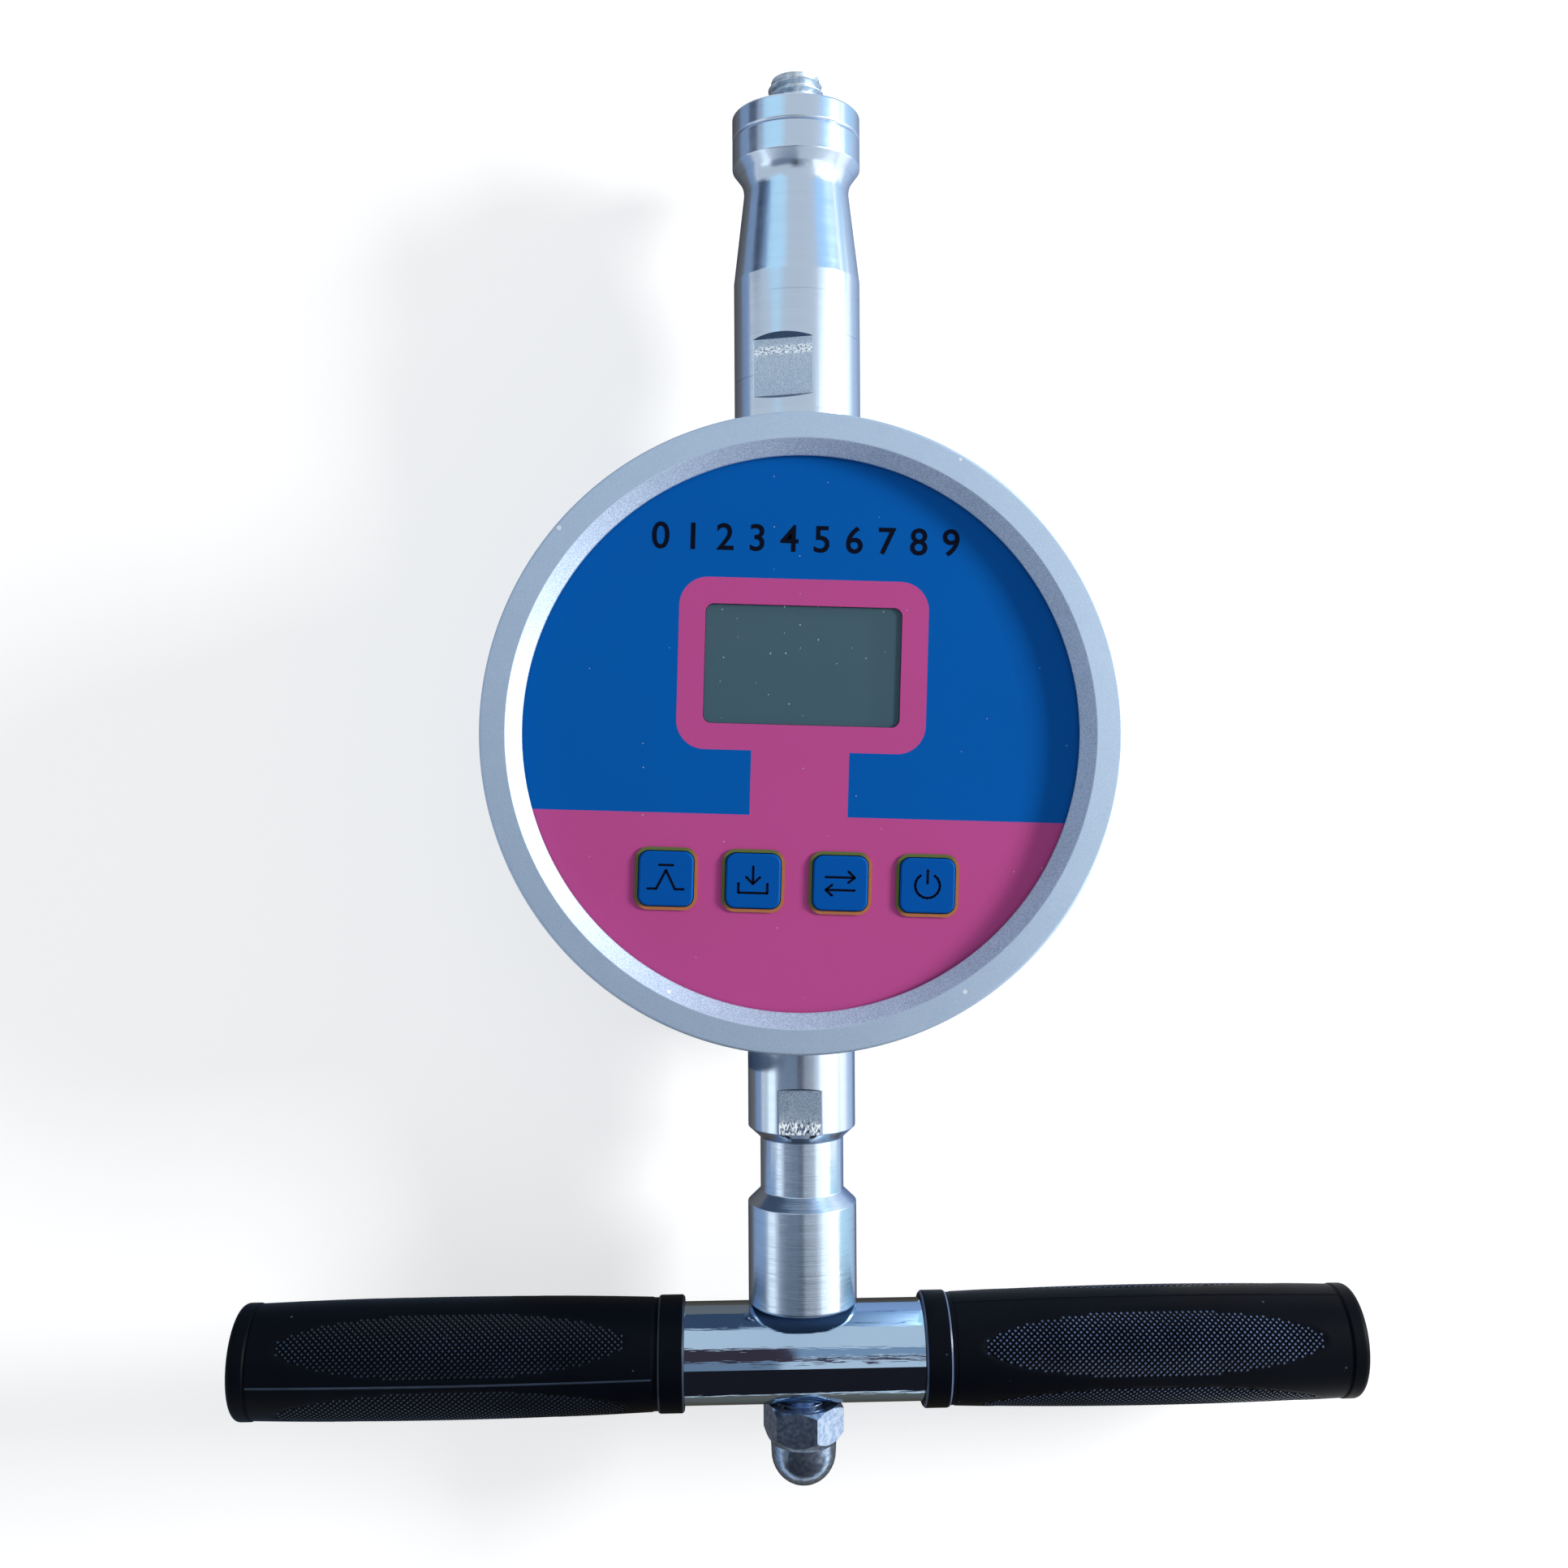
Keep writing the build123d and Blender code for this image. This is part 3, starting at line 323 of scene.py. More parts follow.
def turned_aluminium(name, feed_lean):
    material, place = textured_finish(name)
    along = place.axis("Y")
    feed = along.line_noise(17000.0, 1.0)
    chatter = along.line_noise(420.0)
    waver = place.stretched((1.0, 0.02, 1.0)).noise(900.0)
    stain = place.noise(60.0, 4.0)
    scratch = along.line_noise(900.0, 1.0).ramp(0.70, 0.74) * stain.ramp(0.5, 0.65)
    tone = (0.3 * stain + 0.2 * chatter + 0.45 * scratch).tint(srgb(222, 236, 252), srgb(188, 206, 228))
    return close_finish(
        material,
        Base_Color=tone,
        Metallic=1.0,
        Roughness=0.14 + 0.08 * stain + 0.06 * chatter,
        # The edge tint darkens grazing reflections: painted shade for the dark table these edges reflect.
        Specular_Tint=(0.45, 0.45, 0.5, 1),
        Normal=leaned_normal((feed - 0.5) * feed_lean, (waver - 0.5) * side_lean),
    )


turned = turned_aluminium("turned_aluminium", 0.2)
coarse_turned = turned_aluminium("coarse_turned", 1.2)
print("finishes", turned.name, coarse_turned.name)

# %% [markdown]
# Other metals: the bezel and the case are bead blasted, which leaves an even grain without direction, and
# the bezel's cone is cut bright afterwards. The bar is chromed and polished, so it only shows fine drawn
# lines that make the reflections waver. Nuts, studs and screws are zinc plated, with a mottled sheen.

# %% Blasted aluminium, chrome and zinc
def blasted_aluminium(name, light, dark, grain_scale, roughness):
    material, place = textured_finish(name)
    grain = place.noise(grain_scale, 3.0, 0.6)
    cloud = place.noise(90.0, 3.0)
    nick = place.specks(160.0, 0.14, 0.12)
    tone = (0.75 * grain.ramp(0.3, 0.7) + 0.25 * cloud).tint(srgb(*dark), srgb(*light))
    return close_finish(
        material,
        Base_Color=nick.tint(tone, srgb(236, 240, 244)),
        Metallic=1.0,
        Roughness=roughness + 0.16 * grain,
        Normal=(grain - 0.8 * nick).bump(0.03 * mm),
    )


drawn_lean = 0.36


def chrome_plate():
    material, place = textured_finish("chrome_plate")
    rubbed = place.stretched((0.005, 1.0, 1.0))
    hairline = rubbed.noise(5000.0)
    ripple = rubbed.noise(500.0, 1.0)
    smear = place.noise(45.0, 4.0)
    return close_finish(
        material,
        Base_Color=smear.tint(srgb(208, 235, 255), srgb(188, 216, 247)),
        Metallic=1.0,
        Roughness=0.02 + 0.08 * smear.ramp(0.45, 0.8),
        # The warm edge tint darkens grazing reflections: painted shade for the brown table the bar reflects.
        Specular_Tint=(0.5, 0.45, 0.4, 1),
        Normal=leaned_normal((0.7 * hairline + 0.3 * ripple - 0.5) * drawn_lean),
    )


def zinc_plate(name, light, dark, roughness):
    material, place = textured_finish(name)
    mottle = place.noise(900.0, 3.0)
    dent = place.noise(1900.0)
    return close_finish(
        material,
        Base_Color=mottle.ramp(0.3, 0.7).tint(srgb(*dark), srgb(*light)),
        Metallic=0.95,
        Roughness=roughness + 0.14 * mottle,
        # The edge tint darkens grazing reflections: painted shade for the dark table.
        Specular_Tint=(0.45, 0.42, 0.4, 1),
        Normal=dent.bump(0.004 * mm),
    )


blasted = blasted_aluminium("blasted_aluminium", (201, 218, 237), (173, 192, 214), 4800.0, 0.48)
bright_cut = blasted_aluminium("bright_cut_aluminium", (222, 237, 253), (160, 177, 200), 3400.0, 0.58)
chrome = chrome_plate()
zinc = zinc_plate("zinc_plate", (204, 222, 246), (156, 182, 218), 0.17)
dull_zinc = zinc_plate("dull_zinc", (222, 232, 242), (178, 192, 206), 0.34)
print("finishes", blasted.name, bright_cut.name, chrome.name, zinc.name, dull_zinc.name)

# %% [markdown]
# The stems are lathe work, so each is an outline spun about the shaft. The outline lists (radius, place along
# the shaft) in the order the tool would meet them. Sharp edges get a small bevel afterwards, because
# no real edge is perfectly sharp and the bevel catches a thin line of light.

# %% Helpers for turned pieces
merge_gap = 0.001 * mm
crease = radians(28)
least_bend = radians(3)
eased_angle = radians(35)
edge_ease = 0.1 * mm


def add_piece(name, bm, body, finishes, replaced=()):
    """Write a finished bmesh as a piece that rides on a body and stands for its CAD nodes."""
    bmesh.ops.remove_doubles(bm, verts=bm.verts, dist=merge_gap)
    bmesh.ops.recalc_face_normals(bm, faces=bm.faces)
    piece = mesh_object(name, bm)
    piece.data.shade_smooth()
    piece.data.set_sharp_from_angle(angle=crease)
    for finish in finishes:
        piece.data.materials.append(finish)
    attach(piece, body)
    if replaced:
        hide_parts(*replaced)
    print(name, "faces", len(piece.data.polygons))


def eased(outline, width):
    """Cut an outline's corners back by a width, with rings beside them that keep the long faces flat."""
    points = [Vector(point) for point in outline]
    result = points[:1]
    for before, corner, after in zip(points, points[1:], points[2:]):
        back, on = before - corner, after - corner
        bent = back.length > 0 and on.length > 0 and pi - back.angle(on) > least_bend
        long_back, long_on = (bent and side.length > 4 * width for side in (back, on))
        result += [corner + back.normalized() * 2 * width] if long_back else []
        if long_back and long_on:
            result += [corner + back.normalized() * width, corner + on.normalized() * width]
        else:
            result.append(corner)
        result += [corner + on.normalized() * 2 * width] if long_on else []
    return result + points[-1:]


def fillet(before, corner, after, reach, steps=8):
    """A smooth curve in place of an outline's corner, which starts and ends a reach away from it."""
    corner = Vector(corner)
    start = corner + (Vector(before) - corner).normalized() * reach
    end = corner + (Vector(after) - corner).normalized() * reach
    shares = [step / steps for step in range(steps + 1)]
    return [start.lerp(corner, share).lerp(corner.lerp(end, share), share) for share in shares]


def quarter_round(radius, end, reach, steps, side=1):
    """Outline points that round the edge of a cylinder at its end. A side of -1 is for the low end."""
    angles = [step * pi / 2 / steps for step in range(steps + 1)]
    return [(radius - reach * (1 - cos(turn)), end - side * reach * (1 - sin(turn))) for turn in angles]


def spin_outline(bm, outline, centre, axis, out, steps):
    """Spin an outline of (radius, place along the axis) about an axis through the centre."""
    verts = [bm.verts.new(centre + out * radius + axis * place) for radius, place in outline]
    edges = [bm.edges.new(pair) for pair in zip(verts, verts[1:])]
    bmesh.ops.spin(
        bm, geom=verts + edges, cent=centre, axis=axis, dvec=(0, 0, 0), angle=2 * pi, steps=steps,
        use_merge=True, use_normal_flip=False, use_duplicate=False,
    )
    bmesh.ops.remove_doubles(bm, verts=bm.verts, dist=merge_gap / 2)
    bmesh.ops.dissolve_degenerate(bm, edges=bm.edges, dist=merge_gap / 4)
    bmesh.ops.recalc_face_normals(bm, faces=bm.faces)


shaft_centre = Vector((0, 0, shaft_height))
along_shaft = Vector((0, 1, 0))
stem_steps = 144


def turn_on_shaft(outline, steps=stem_steps, start_turn=0.0):
    """A new bmesh with an outline spun about the shaft."""
    bm = bmesh.new()
    out = Vector((cos(start_turn), 0, sin(start_turn)))
    spin_outline(bm, outline, shaft_centre, along_shaft, out, steps)
    return bm


def ease_edges(bm, width):
    """Bevel every edge that is bent by more than the eased angle."""
    edges = [e for e in bm.edges if len(e.link_faces) == 2 and e.calc_face_angle() > eased_angle]
    bmesh.ops.bevel(
        bm, geom=edges, offset=width, offset_type="OFFSET", segments=2, profile=0.5,
        affect="EDGES", clamp_overlap=True, material=-1,
    )


print("turning helpers ready")

# %% [markdown]
# The spanner flats are milled into the round stem. Two rings of vertices stand at each end of a flat, a
# hair apart. The stem is cut lengthwise where the flat's sides will run, and then the inner rings are pressed
# down onto the flat's plane. The outer rings lean back, because the cutter leaves a sloping end.

# %% Spanner flats
step_hair = 0.01 * mm
end_lean = 0.55
end_wall_reach = 1.2 * mm


def flat_rings(start, end, radius):
    """Outline points that prepare a flat between two places."""
    return [(radius, start), (radius, start + step_hair), (radius, end - step_hair), (radius, end)]


def mill_flats(bm, start, end, radius, across, turn):
    """Press a pair of flats into a stem between two places. The turn leans the upper flat towards -X."""
    half_width = sqrt(radius**2 - (across / 2) ** 2)
    for side in (1, -1):
        out = Vector((-sin(turn), 0, cos(turn))) * side
        for edge in (1, -1):
            corner = out * (across / 2) + out.cross(along_shaft) * (half_width * edge)
            bmesh.ops.bisect_plane(
                bm, geom=bm.verts[:] + bm.edges[:] + bm.faces[:], dist=merge_gap / 10,
                plane_co=shaft_centre, plane_no=corner.cross(along_shaft),
            )
        for vert in bm.verts:
            over = (vert.co - shaft_centre).dot(out) - across / 2
            if over <= 0:
                continue
            if start + step_hair / 2 < vert.co.y < end - step_hair / 2:
                vert.co -= out * over
            elif abs(vert.co.y - end) < step_hair / 2:
                vert.co.y += over * end_lean
            elif abs(vert.co.y - start) < step_hair / 2:
                vert.co.y -= over * end_lean
        for face in bm.faces:
            middle = face.calc_center_median()
            level = (middle - shaft_centre).dot(out) - across / 2
            if start < middle.y < end and abs(level) < merge_gap:
                face.material_index = 1
            depth = radius - hypot(middle.x, middle.z - shaft_height)
            from_end = min(abs(middle.y - start), abs(middle.y - end))
            # The sloping end walls get the third finish, whose dark tone is painted shade.
            if level > merge_gap and depth > 2 * step_hair and from_end < end_wall_reach:
                face.material_index = 2


print("milling helper ready")

# %% [markdown]
# A milled flat is duller than the turned stem. Fine swirls cover it, and where the cutter chattered there is
# a band of torn flecks with streaks that trail away from it. The band is found by its place along the shaft.
# Torn metal scatters light every way, so the flecks are made less metallic and lean towards the window; their
# near-white colour is painted glint, as is the lightening of the streaks. The sloping ends of a flat are
# rougher, and their dark tone is painted shade.

# %% Milled aluminium
def milled_aluminium(
    name, light, dark, pitted, torn_place, torn_half, torn_lean, tail, fleck_stretch, fleck_scale,
):
    """Finish of a flat: tones, the torn band's place, half width and lean, its streaks' end, its flecks."""
    material, place = textured_finish(name)
    along = place.axis("Y")
    trail_middle = (torn_place + tail) / 2
    trail_half = abs(torn_place - tail) / 2
    streak = place.stretched((1.0, 0.16, 1.0)).noise(2400.0)
    torn = place.stretched((1.0, fleck_stretch, 1.0)).noise(fleck_scale)
    swirl = place.noise(3600.0, 3.0)
    band = 1 - abs(along - torn_place).ramp(0.5 * torn_half, torn_half)
    trail = 1 - abs(along - trail_middle).ramp(0.5 * trail_half, trail_half)
    fleck = band * torn.ramp(0.46, 0.57)
    pit = band * (1 - torn.ramp(0.38, 0.46))
    # Painted glint: the flecks, and faintly the trailing streaks, are tinted near white.
    bright = 0.3 * streak.ramp(0.45, 0.7) * trail | fleck
    tone = swirl.ramp(0.3, 0.7).tint(srgb(*dark), srgb(*light))
    return close_finish(
        material,
        Base_Color=bright.tint(pit.tint(tone, srgb(*pitted)), srgb(244, 250, 255)),
        Metallic=1 - 0.85 * bright,
        Roughness=0.52 + 0.1 * swirl,
        Normal=leaned_normal((0.3 * swirl + torn * band - 0.5) * torn_lean, fleck * torn_lean),
    )


# The dark tone of the sloping ends is painted shade.
painted_shade_end = blasted_aluminium("painted_shade_end", (112, 128, 150), (88, 104, 126), 3000.0, 0.4)
print("finish", painted_shade_end.name)

# %% [markdown]
# The upper stem carries the probe rod. It has a spigot in the load cell, a parallel stem, a taper and a coned
# flange, and the thrust ring sits on the flange's face with a V-groove between them.

# %% Upper stem and thrust ring
stem_low, stem_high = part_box("upper_stem")
ring_low, ring_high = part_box("thrust_ring")
flange_radius = stem_high.x
flange_front = stem_high.y
flange_back = flange_front - 7.0 * mm
taper_top = flange_back - 4.2 * mm
taper_top_radius = 13.0 * mm
taper_foot = taper_top - 25.0 * mm
stem_radius = 16.0 * mm
spigot_radius = 8.0 * mm
stem_shoulder = 50.0 * mm
upper_flat_end = taper_foot - 17.0 * mm
upper_flat_start = upper_flat_end - 14.0 * mm
upper_flat_across = 28.0 * mm
upper_flat_turn = radians(15.0)
edge_break = 0.7 * mm
groove_break = 0.45 * mm
flange_fillet = 3.0 * mm
stud_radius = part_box("probe_stud")[1].x

milled_upper = milled_aluminium(
    "milled_upper", (228, 240, 252), (184, 202, 222), (158, 174, 192),
    torn_place=upper_flat_end - 2.9 * mm, torn_half=1.4 * mm, torn_lean=0.4,
    tail=upper_flat_end - 8.0 * mm, fleck_stretch=1.4, fleck_scale=1900.0,
)
bm = turn_on_shaft(eased([
    (0, stem_low.y),
    (spigot_radius, stem_low.y),
    (spigot_radius, stem_shoulder),
    (stem_radius, stem_shoulder),
    *flat_rings(upper_flat_start, upper_flat_end, stem_radius),
    (stem_radius, taper_foot),
    *fillet(
        (stem_radius, taper_foot), (taper_top_radius, taper_top), (flange_radius, flange_back), flange_fillet,
    ),
    (flange_radius, flange_back),
    (flange_radius, flange_front - groove_break),
    (flange_radius - groove_break, flange_front),
    (0, flange_front),
], edge_ease))
mill_flats(bm, upper_flat_start, upper_flat_end, stem_radius, upper_flat_across, upper_flat_turn)
add_piece("stem_upper", bm, "gauge", [turned, milled_upper, painted_shade_end], ["upper_stem"])

bm = turn_on_shaft(eased([
    (stud_radius, ring_low.y),
    (flange_radius - groove_break, ring_low.y),
    (flange_radius, ring_low.y + groove_break),
    (flange_radius, ring_high.y - groove_break),
    (flange_radius - groove_break, ring_high.y),
    (stud_radius, ring_high.y),
    (stud_radius, ring_low.y),
], edge_ease))
add_piece("ring_thrust", bm, "gauge", [turned], ["thrust_ring"])

# %% [markdown]
# The lower stem is screwed through the case, and the handle post is screwed into its end. The neck
# between them is a little thinner, with a cone on both sides. The post's end on the bar is sawn, and its
# dark tone is painted shade.

# %% Lower stem and handle post
lower_low, lower_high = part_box("lower_stem")
post_low, post_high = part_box("handle_post")
lower_radius = lower_high.x
neck_radius = 10.55 * mm
lower_end = lower_low.y
lower_chamfer = 2.8 * mm
case_thread_radius = 10.0 * mm
case_nut_inner = -54.0 * mm
stem_seat = -70.0 * mm
lower_flat_end = lower_end + 13.7 * mm
lower_flat_across = 25.0 * mm
lower_flat_turn = radians(2.6)
flat_share = (lower_flat_across / 2 - neck_radius) / (lower_radius - neck_radius)
neck_end = lower_end - 13.4 * mm
post_radius = post_high.x
collar_start = neck_end - 3.1 * mm
post_thread_radius = 7.0 * mm

bm = turn_on_shaft(eased([
    (0, lower_high.y),
    (spigot_radius, lower_high.y),
    (spigot_radius, case_nut_inner),
    (case_thread_radius, case_nut_inner),
    (case_thread_radius, stem_seat),
    (lower_radius, stem_seat),
    (lower_radius, lower_flat_end),
    (lower_radius, lower_flat_end - step_hair),
    (lower_radius, lower_end + lower_chamfer),
    (lower_flat_across / 2, lower_end + lower_chamfer * flat_share),
    (neck_radius, lower_end),
    (0, lower_end),
], edge_ease))
mill_flats(bm, lower_end - mm, lower_flat_end, lower_radius, lower_flat_across, lower_flat_turn)
milled_lower = milled_aluminium(
    "milled_lower", (206, 220, 236), (146, 164, 186), (84, 100, 124),
    torn_place=lower_end + 3.2 * mm, torn_half=3.6 * mm, torn_lean=0.15,
    tail=lower_end + 9.0 * mm, fleck_stretch=0.35, fleck_scale=2600.0,
)
add_piece("stem_lower", bm, "gauge", [turned, milled_lower, painted_shade_end], ["lower_stem"])

bm = turn_on_shaft(eased([
    (0, post_high.y),
    (post_thread_radius, post_high.y),
    (post_thread_radius, lower_end),
    (neck_radius, lower_end),
    (neck_radius, neck_end),
    (post_radius, collar_start),
    (post_radius, post_low.y + edge_break),
    (post_radius - edge_break, post_low.y),
    (0, post_low.y),
], edge_ease))
# The sawn end face gets the dark finish, painted shade where the post meets the bar.
for face in bm.faces:
    if face.calc_center_median().y < post_low.y + edge_break / 10:
        face.material_index = 1
add_piece("post_handle", bm, "gauge", [coarse_turned, painted_shade_end], ["handle_post"])

# %% [markdown]
# A thread is a helix: a small profile of one pitch is spun round and moved along the axis a little at each
# step, so that every turn ends where the next one starts. Cutting planes then trim both ends square, and a
# cone at each end makes the lead that helps a nut or rod to find the thread.

# %% Threaded studs
turn_steps = 48


def thread_on_shaft(radius, pitch, start, end, lead, lead_length):
    """A threaded stud on the shaft between two places, with a lead at both ends."""
    depth = 0.6 * pitch
    profile = [(0.0, 0.0), (0.12, 0.0), (0.44, 1.0), (0.56, 1.0), (0.88, 0.0), (1.0, 0.0)]
    turns = ceil((end - start) / pitch) + 2
    bm = bmesh.new()
    verts = [
        bm.verts.new((radius - depth * (1 - rise), start + (share - 1) * pitch, shaft_height))
        for share, rise in profile
    ]
    edges = [bm.edges.new(pair) for pair in zip(verts, verts[1:])]
    bmesh.ops.spin(
        bm, geom=verts + edges, cent=shaft_centre, axis=along_shaft, dvec=(0, pitch / turn_steps, 0),
        angle=2 * pi * turns, steps=turn_steps * turns, use_merge=False, use_duplicate=False,
    )
    bmesh.ops.remove_doubles(bm, verts=bm.verts, dist=merge_gap)
    for place, side in ((start, -1), (end, 1)):
        bmesh.ops.bisect_plane(
            bm, geom=bm.verts[:] + bm.edges[:] + bm.faces[:], dist=merge_gap / 10,
            plane_co=(0, place, shaft_height), plane_no=(0, side, 0), clear_outer=True,
        )
    for vert in bm.verts:
        reach = min(vert.co.y - start, end - vert.co.y)
        limit = radius - lead * max(0, 1 - reach / lead_length)
        across = vert.co - Vector((0, vert.co.y, shaft_height))
        if across.length > limit:
            vert.co -= across * (1 - limit / across.length)
    bmesh.ops.holes_fill(bm, edges=[e for e in bm.edges if e.is_boundary], sides=0)
    return bm


stud_low, stud_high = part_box("probe_stud")
stud_pitch = 2.0 * mm
stud_relief = 1.2 * mm
stud_lead = 1.0 * mm
stud_lead_length = 2.4 * mm
shank_radius = 5.8 * mm
shank_end = ring_high.y + 2 * stud_relief
thread_start = ring_high.y + stud_relief
bm = thread_on_shaft(stud_radius, stud_pitch, thread_start, stud_high.y, stud_lead, stud_lead_length)
shank = [
    (0, stud_low.y), (stud_radius, stud_low.y), (stud_radius, ring_high.y),
    (shank_radius, ring_high.y), (shank_radius, shank_end), (0, shank_end),
]
spin_outline(bm, shank, shaft_centre, along_shaft, Vector((1, 0, 0)), turn_steps)
add_piece("stud_probe", bm, "gauge", [dull_zinc], ["probe_stud"])

clamp_low, clamp_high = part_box("handle_stud")
clamp_radius = clamp_high.x
clamp_pitch = 1.75 * mm
bm = thread_on_shaft(clamp_radius, clamp_pitch, clamp_low.y, clamp_high.y, edge_break, edge_break)
add_piece("stud_clamp", bm, "gauge", [zinc], ["handle_stud"])

# %% [markdown]
# The cap nut is a hexagon with a dome. A nut's corners are cut back by a cone, which leaves the curved
# edges on its flats. So the nut is spun as a round first, and two of its rings are then drawn out to the
# hexagon, dropping back along the cone the further out they reach.

# %% Cap nut
nut_low, nut_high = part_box("cap_nut")
nut_flat_radius = 9.0 * mm
nut_hex_height = 8.7 * mm
nut_turn = radians(19.0)
top_chamfer = tan(radians(38.0))
dome_chamfer = tan(radians(50.0))
nut_dome_radius = 8.2 * mm
nut_mouth_radius = 7.3 * mm
nut_mouth_depth = 1.6 * mm
nut_bore_depth = 16.0 * mm
nut_ring_inset = 0.5 * mm
nut_edge_ease = 0.36 * mm
dome_shoulder = 0.15 * mm
dome_steps = 10
nut_steps = 96


def hex_reach(angle):
    """Distance from a hexagon's middle to its edge in a direction."""
    slice_angle = (angle + pi / 6) % (pi / 3) - pi / 6
    return nut_flat_radius / cos(slice_angle)


nut_top = nut_high.y
hex_end = nut_top - nut_hex_height
ring_radius = nut_flat_radius * 1.05
bm = turn_on_shaft([
    (0, nut_top - nut_bore_depth),
    (clamp_radius, nut_top - nut_bore_depth),
    (clamp_radius, nut_top - nut_mouth_depth),
    (nut_mouth_radius, nut_top),
    (nut_flat_radius, nut_top),
    (ring_radius, nut_top - nut_ring_inset),
    (ring_radius, hex_end + nut_ring_inset),
    (nut_flat_radius, hex_end),
    (nut_dome_radius + dome_shoulder, hex_end - (nut_flat_radius - nut_dome_radius) * dome_chamfer),
    *quarter_round(nut_dome_radius, nut_low.y, nut_dome_radius, dome_steps, -1),
], nut_steps, pi / 6 - nut_turn)
for vert in bm.verts:
    across = Vector((vert.co.x, vert.co.z - shaft_height))
    if abs(across.length - ring_radius) < merge_gap:
        reach = hex_reach(across.angle_signed(Vector((1, 0))) + nut_turn)
        over = reach - nut_flat_radius
        across *= reach / across.length
        vert.co.x, vert.co.z = across.x, across.y + shaft_height
        upper = vert.co.y > (nut_top + hex_end) / 2
        vert.co.y = nut_top - over * top_chamfer if upper else hex_end + over * dome_chamfer
ease_edges(bm, nut_edge_ease)
add_piece("nut_cap", bm, "gauge", [zinc], ["cap_nut"])

# %% [markdown]
# The grips are moulded rubber: a collar at the inner end, a swelling body with four knurled ovals sunk in it
# and a rim at the outer end. Rubber this dark shows itself only by its sheen, so the finish has a fine pebble
# bump and a little dust. A second finish is for the edges and the tips of the knurl: lighter, bluish and
# smoother, partly wear from the hand and partly painted highlight. It is lighter on the right grip, which is
# painted light from the window on that side.

# %% Grip rubber
def grip_rubber(name, left, right, roughness, shine, sheen_colour):
    """Rubber with one tone for the left grip and one for the right; a lighter right tone is painted light."""
    material, place = textured_finish(name)
    pebble = place.noise(2600.0)
    worn = place.noise(70.0, 4.0)
    dust = place.specks(260.0, 0.10, 0.3)
    # Where the right grip's tone is lighter, that is painted light from the window side.
    tone = place.axis("X").ramp(-20 * mm, 20 * mm).tint(srgb(*left), srgb(*right))
    return close_finish(
        material,
        Base_Color=dust.tint(worn.tint(srgb(3, 6, 13), tone), srgb(56, 64, 78)),
        Roughness=roughness + 0.16 * worn,
        Specular_IOR_Level=shine,
        Specular_Tint=(*sheen_colour, 1),
        Normal=pebble.bump(0.02 * mm),
    )


rubber = grip_rubber("grip_rubber", (7, 11, 21), (7, 11, 21), 0.38, 0.05, (1.0, 1.0, 0.9))
# Wear and painted highlight: light bluish tips and edges, lighter on the right grip as painted light.
wear_and_painted_sheen_rubber = grip_rubber("wear_and_painted_sheen_rubber", (44, 58, 84), (96, 117, 160), 0.26, 0.4, (0.75, 0.88, 1.0))
print("finishes", rubber.name, wear_and_painted_sheen_rubber.name)

# %% [markdown]
# The body's swelling is a parabola through three radii. The grip is spun with many rings, and where a vertex
# lies inside an oval it is pressed in by the patch depth, with a soft edge like a moulding's.

# %% Grip bodies
bar_radius = 12.5 * mm
handle_turn = radians(2.2)
along_bar = Vector((cos(handle_turn), 0, -sin(handle_turn)))
up_bar = Vector((sin(handle_turn), 0, cos(handle_turn)))
side_bar = up_bar.cross(along_bar)
bar_middle = Vector((0, bar_centre, shaft_height))
grip_start = 30.0 * mm
grip_end = grip_start + 111.3 * mm
collar_end = grip_start + 6.5 * mm
body_start = collar_end + 1.5 * mm
rim_start = grip_end - 5.0 * mm
collar_radius = 14.2 * mm
collar_corner = 0.5 * mm
neck_grip_radius = 13.75 * mm
belly_radius = 14.7 * mm
tail_radius = 13.9 * mm
rim_radius = 14.1 * mm
rim_round = 1.6 * mm
rim_round_steps = 6
neck_groove = 0.15 * mm
tail_groove = 0.25 * mm
patch_middle = (body_start + rim_start) / 2
patch_half_length = 44.0 * mm
patch_half_width = 8.6 * mm
patch_depth = 0.35 * mm
patch_edge = 0.05
patch_spread = radians(77.0)
patch_turns = {"left": radians(32.0), "right": radians(20.0)}
body_rings = 150
grip_steps = 150


def body_radius(place):
    """Radius of the grip's swelling body at a place along the bar."""
    share = (place - body_start) / (rim_start - body_start)
    bulge = belly_radius - (neck_grip_radius + tail_radius) / 2
    return neck_grip_radius * (1 - share) + tail_radius * share + 4 * bulge * share * (1 - share)


def soft_step(value):
    value = min(max(value, 0), 1)
    return value * value * (3 - 2 * value)


def grip_outline():
    corner = collar_corner
    rings = [body_start + (rim_start - body_start) * ring / body_rings for ring in range(body_rings + 1)]
    return [
        (bar_radius, grip_start),
        (collar_radius - corner, grip_start),
        (collar_radius, grip_start + corner),
        (collar_radius, collar_end - corner),
        (collar_radius - corner / 2, collar_end),
        (neck_grip_radius - neck_groove, collar_end + 0.1 * mm),
        (neck_grip_radius - neck_groove, body_start - 0.3 * mm),
        *((body_radius(place), place) for place in rings),
        (tail_radius - tail_groove, rim_start + 0.2 * mm),
        (tail_radius - tail_groove, rim_start + 0.5 * mm),
        (rim_radius, rim_start + 0.9 * mm),
        *quarter_round(rim_radius, grip_end, rim_round, rim_round_steps),
        (0, grip_end),
    ]


def grip_point(side, place, turn, radius):
    """A point on a grip: place along the bar, turn from the dial's side towards the probe, and radius."""
    out = up_bar * cos(turn) + side_bar * sin(turn)
    return bar_middle + along_bar * (side * place) + out * radius


def oval_turns(name):
    """Turns of the four ovals' middles: two opposite pairs."""
    first = patch_turns[name]
    return [first, first - patch_spread, first + pi, first + pi - patch_spread]


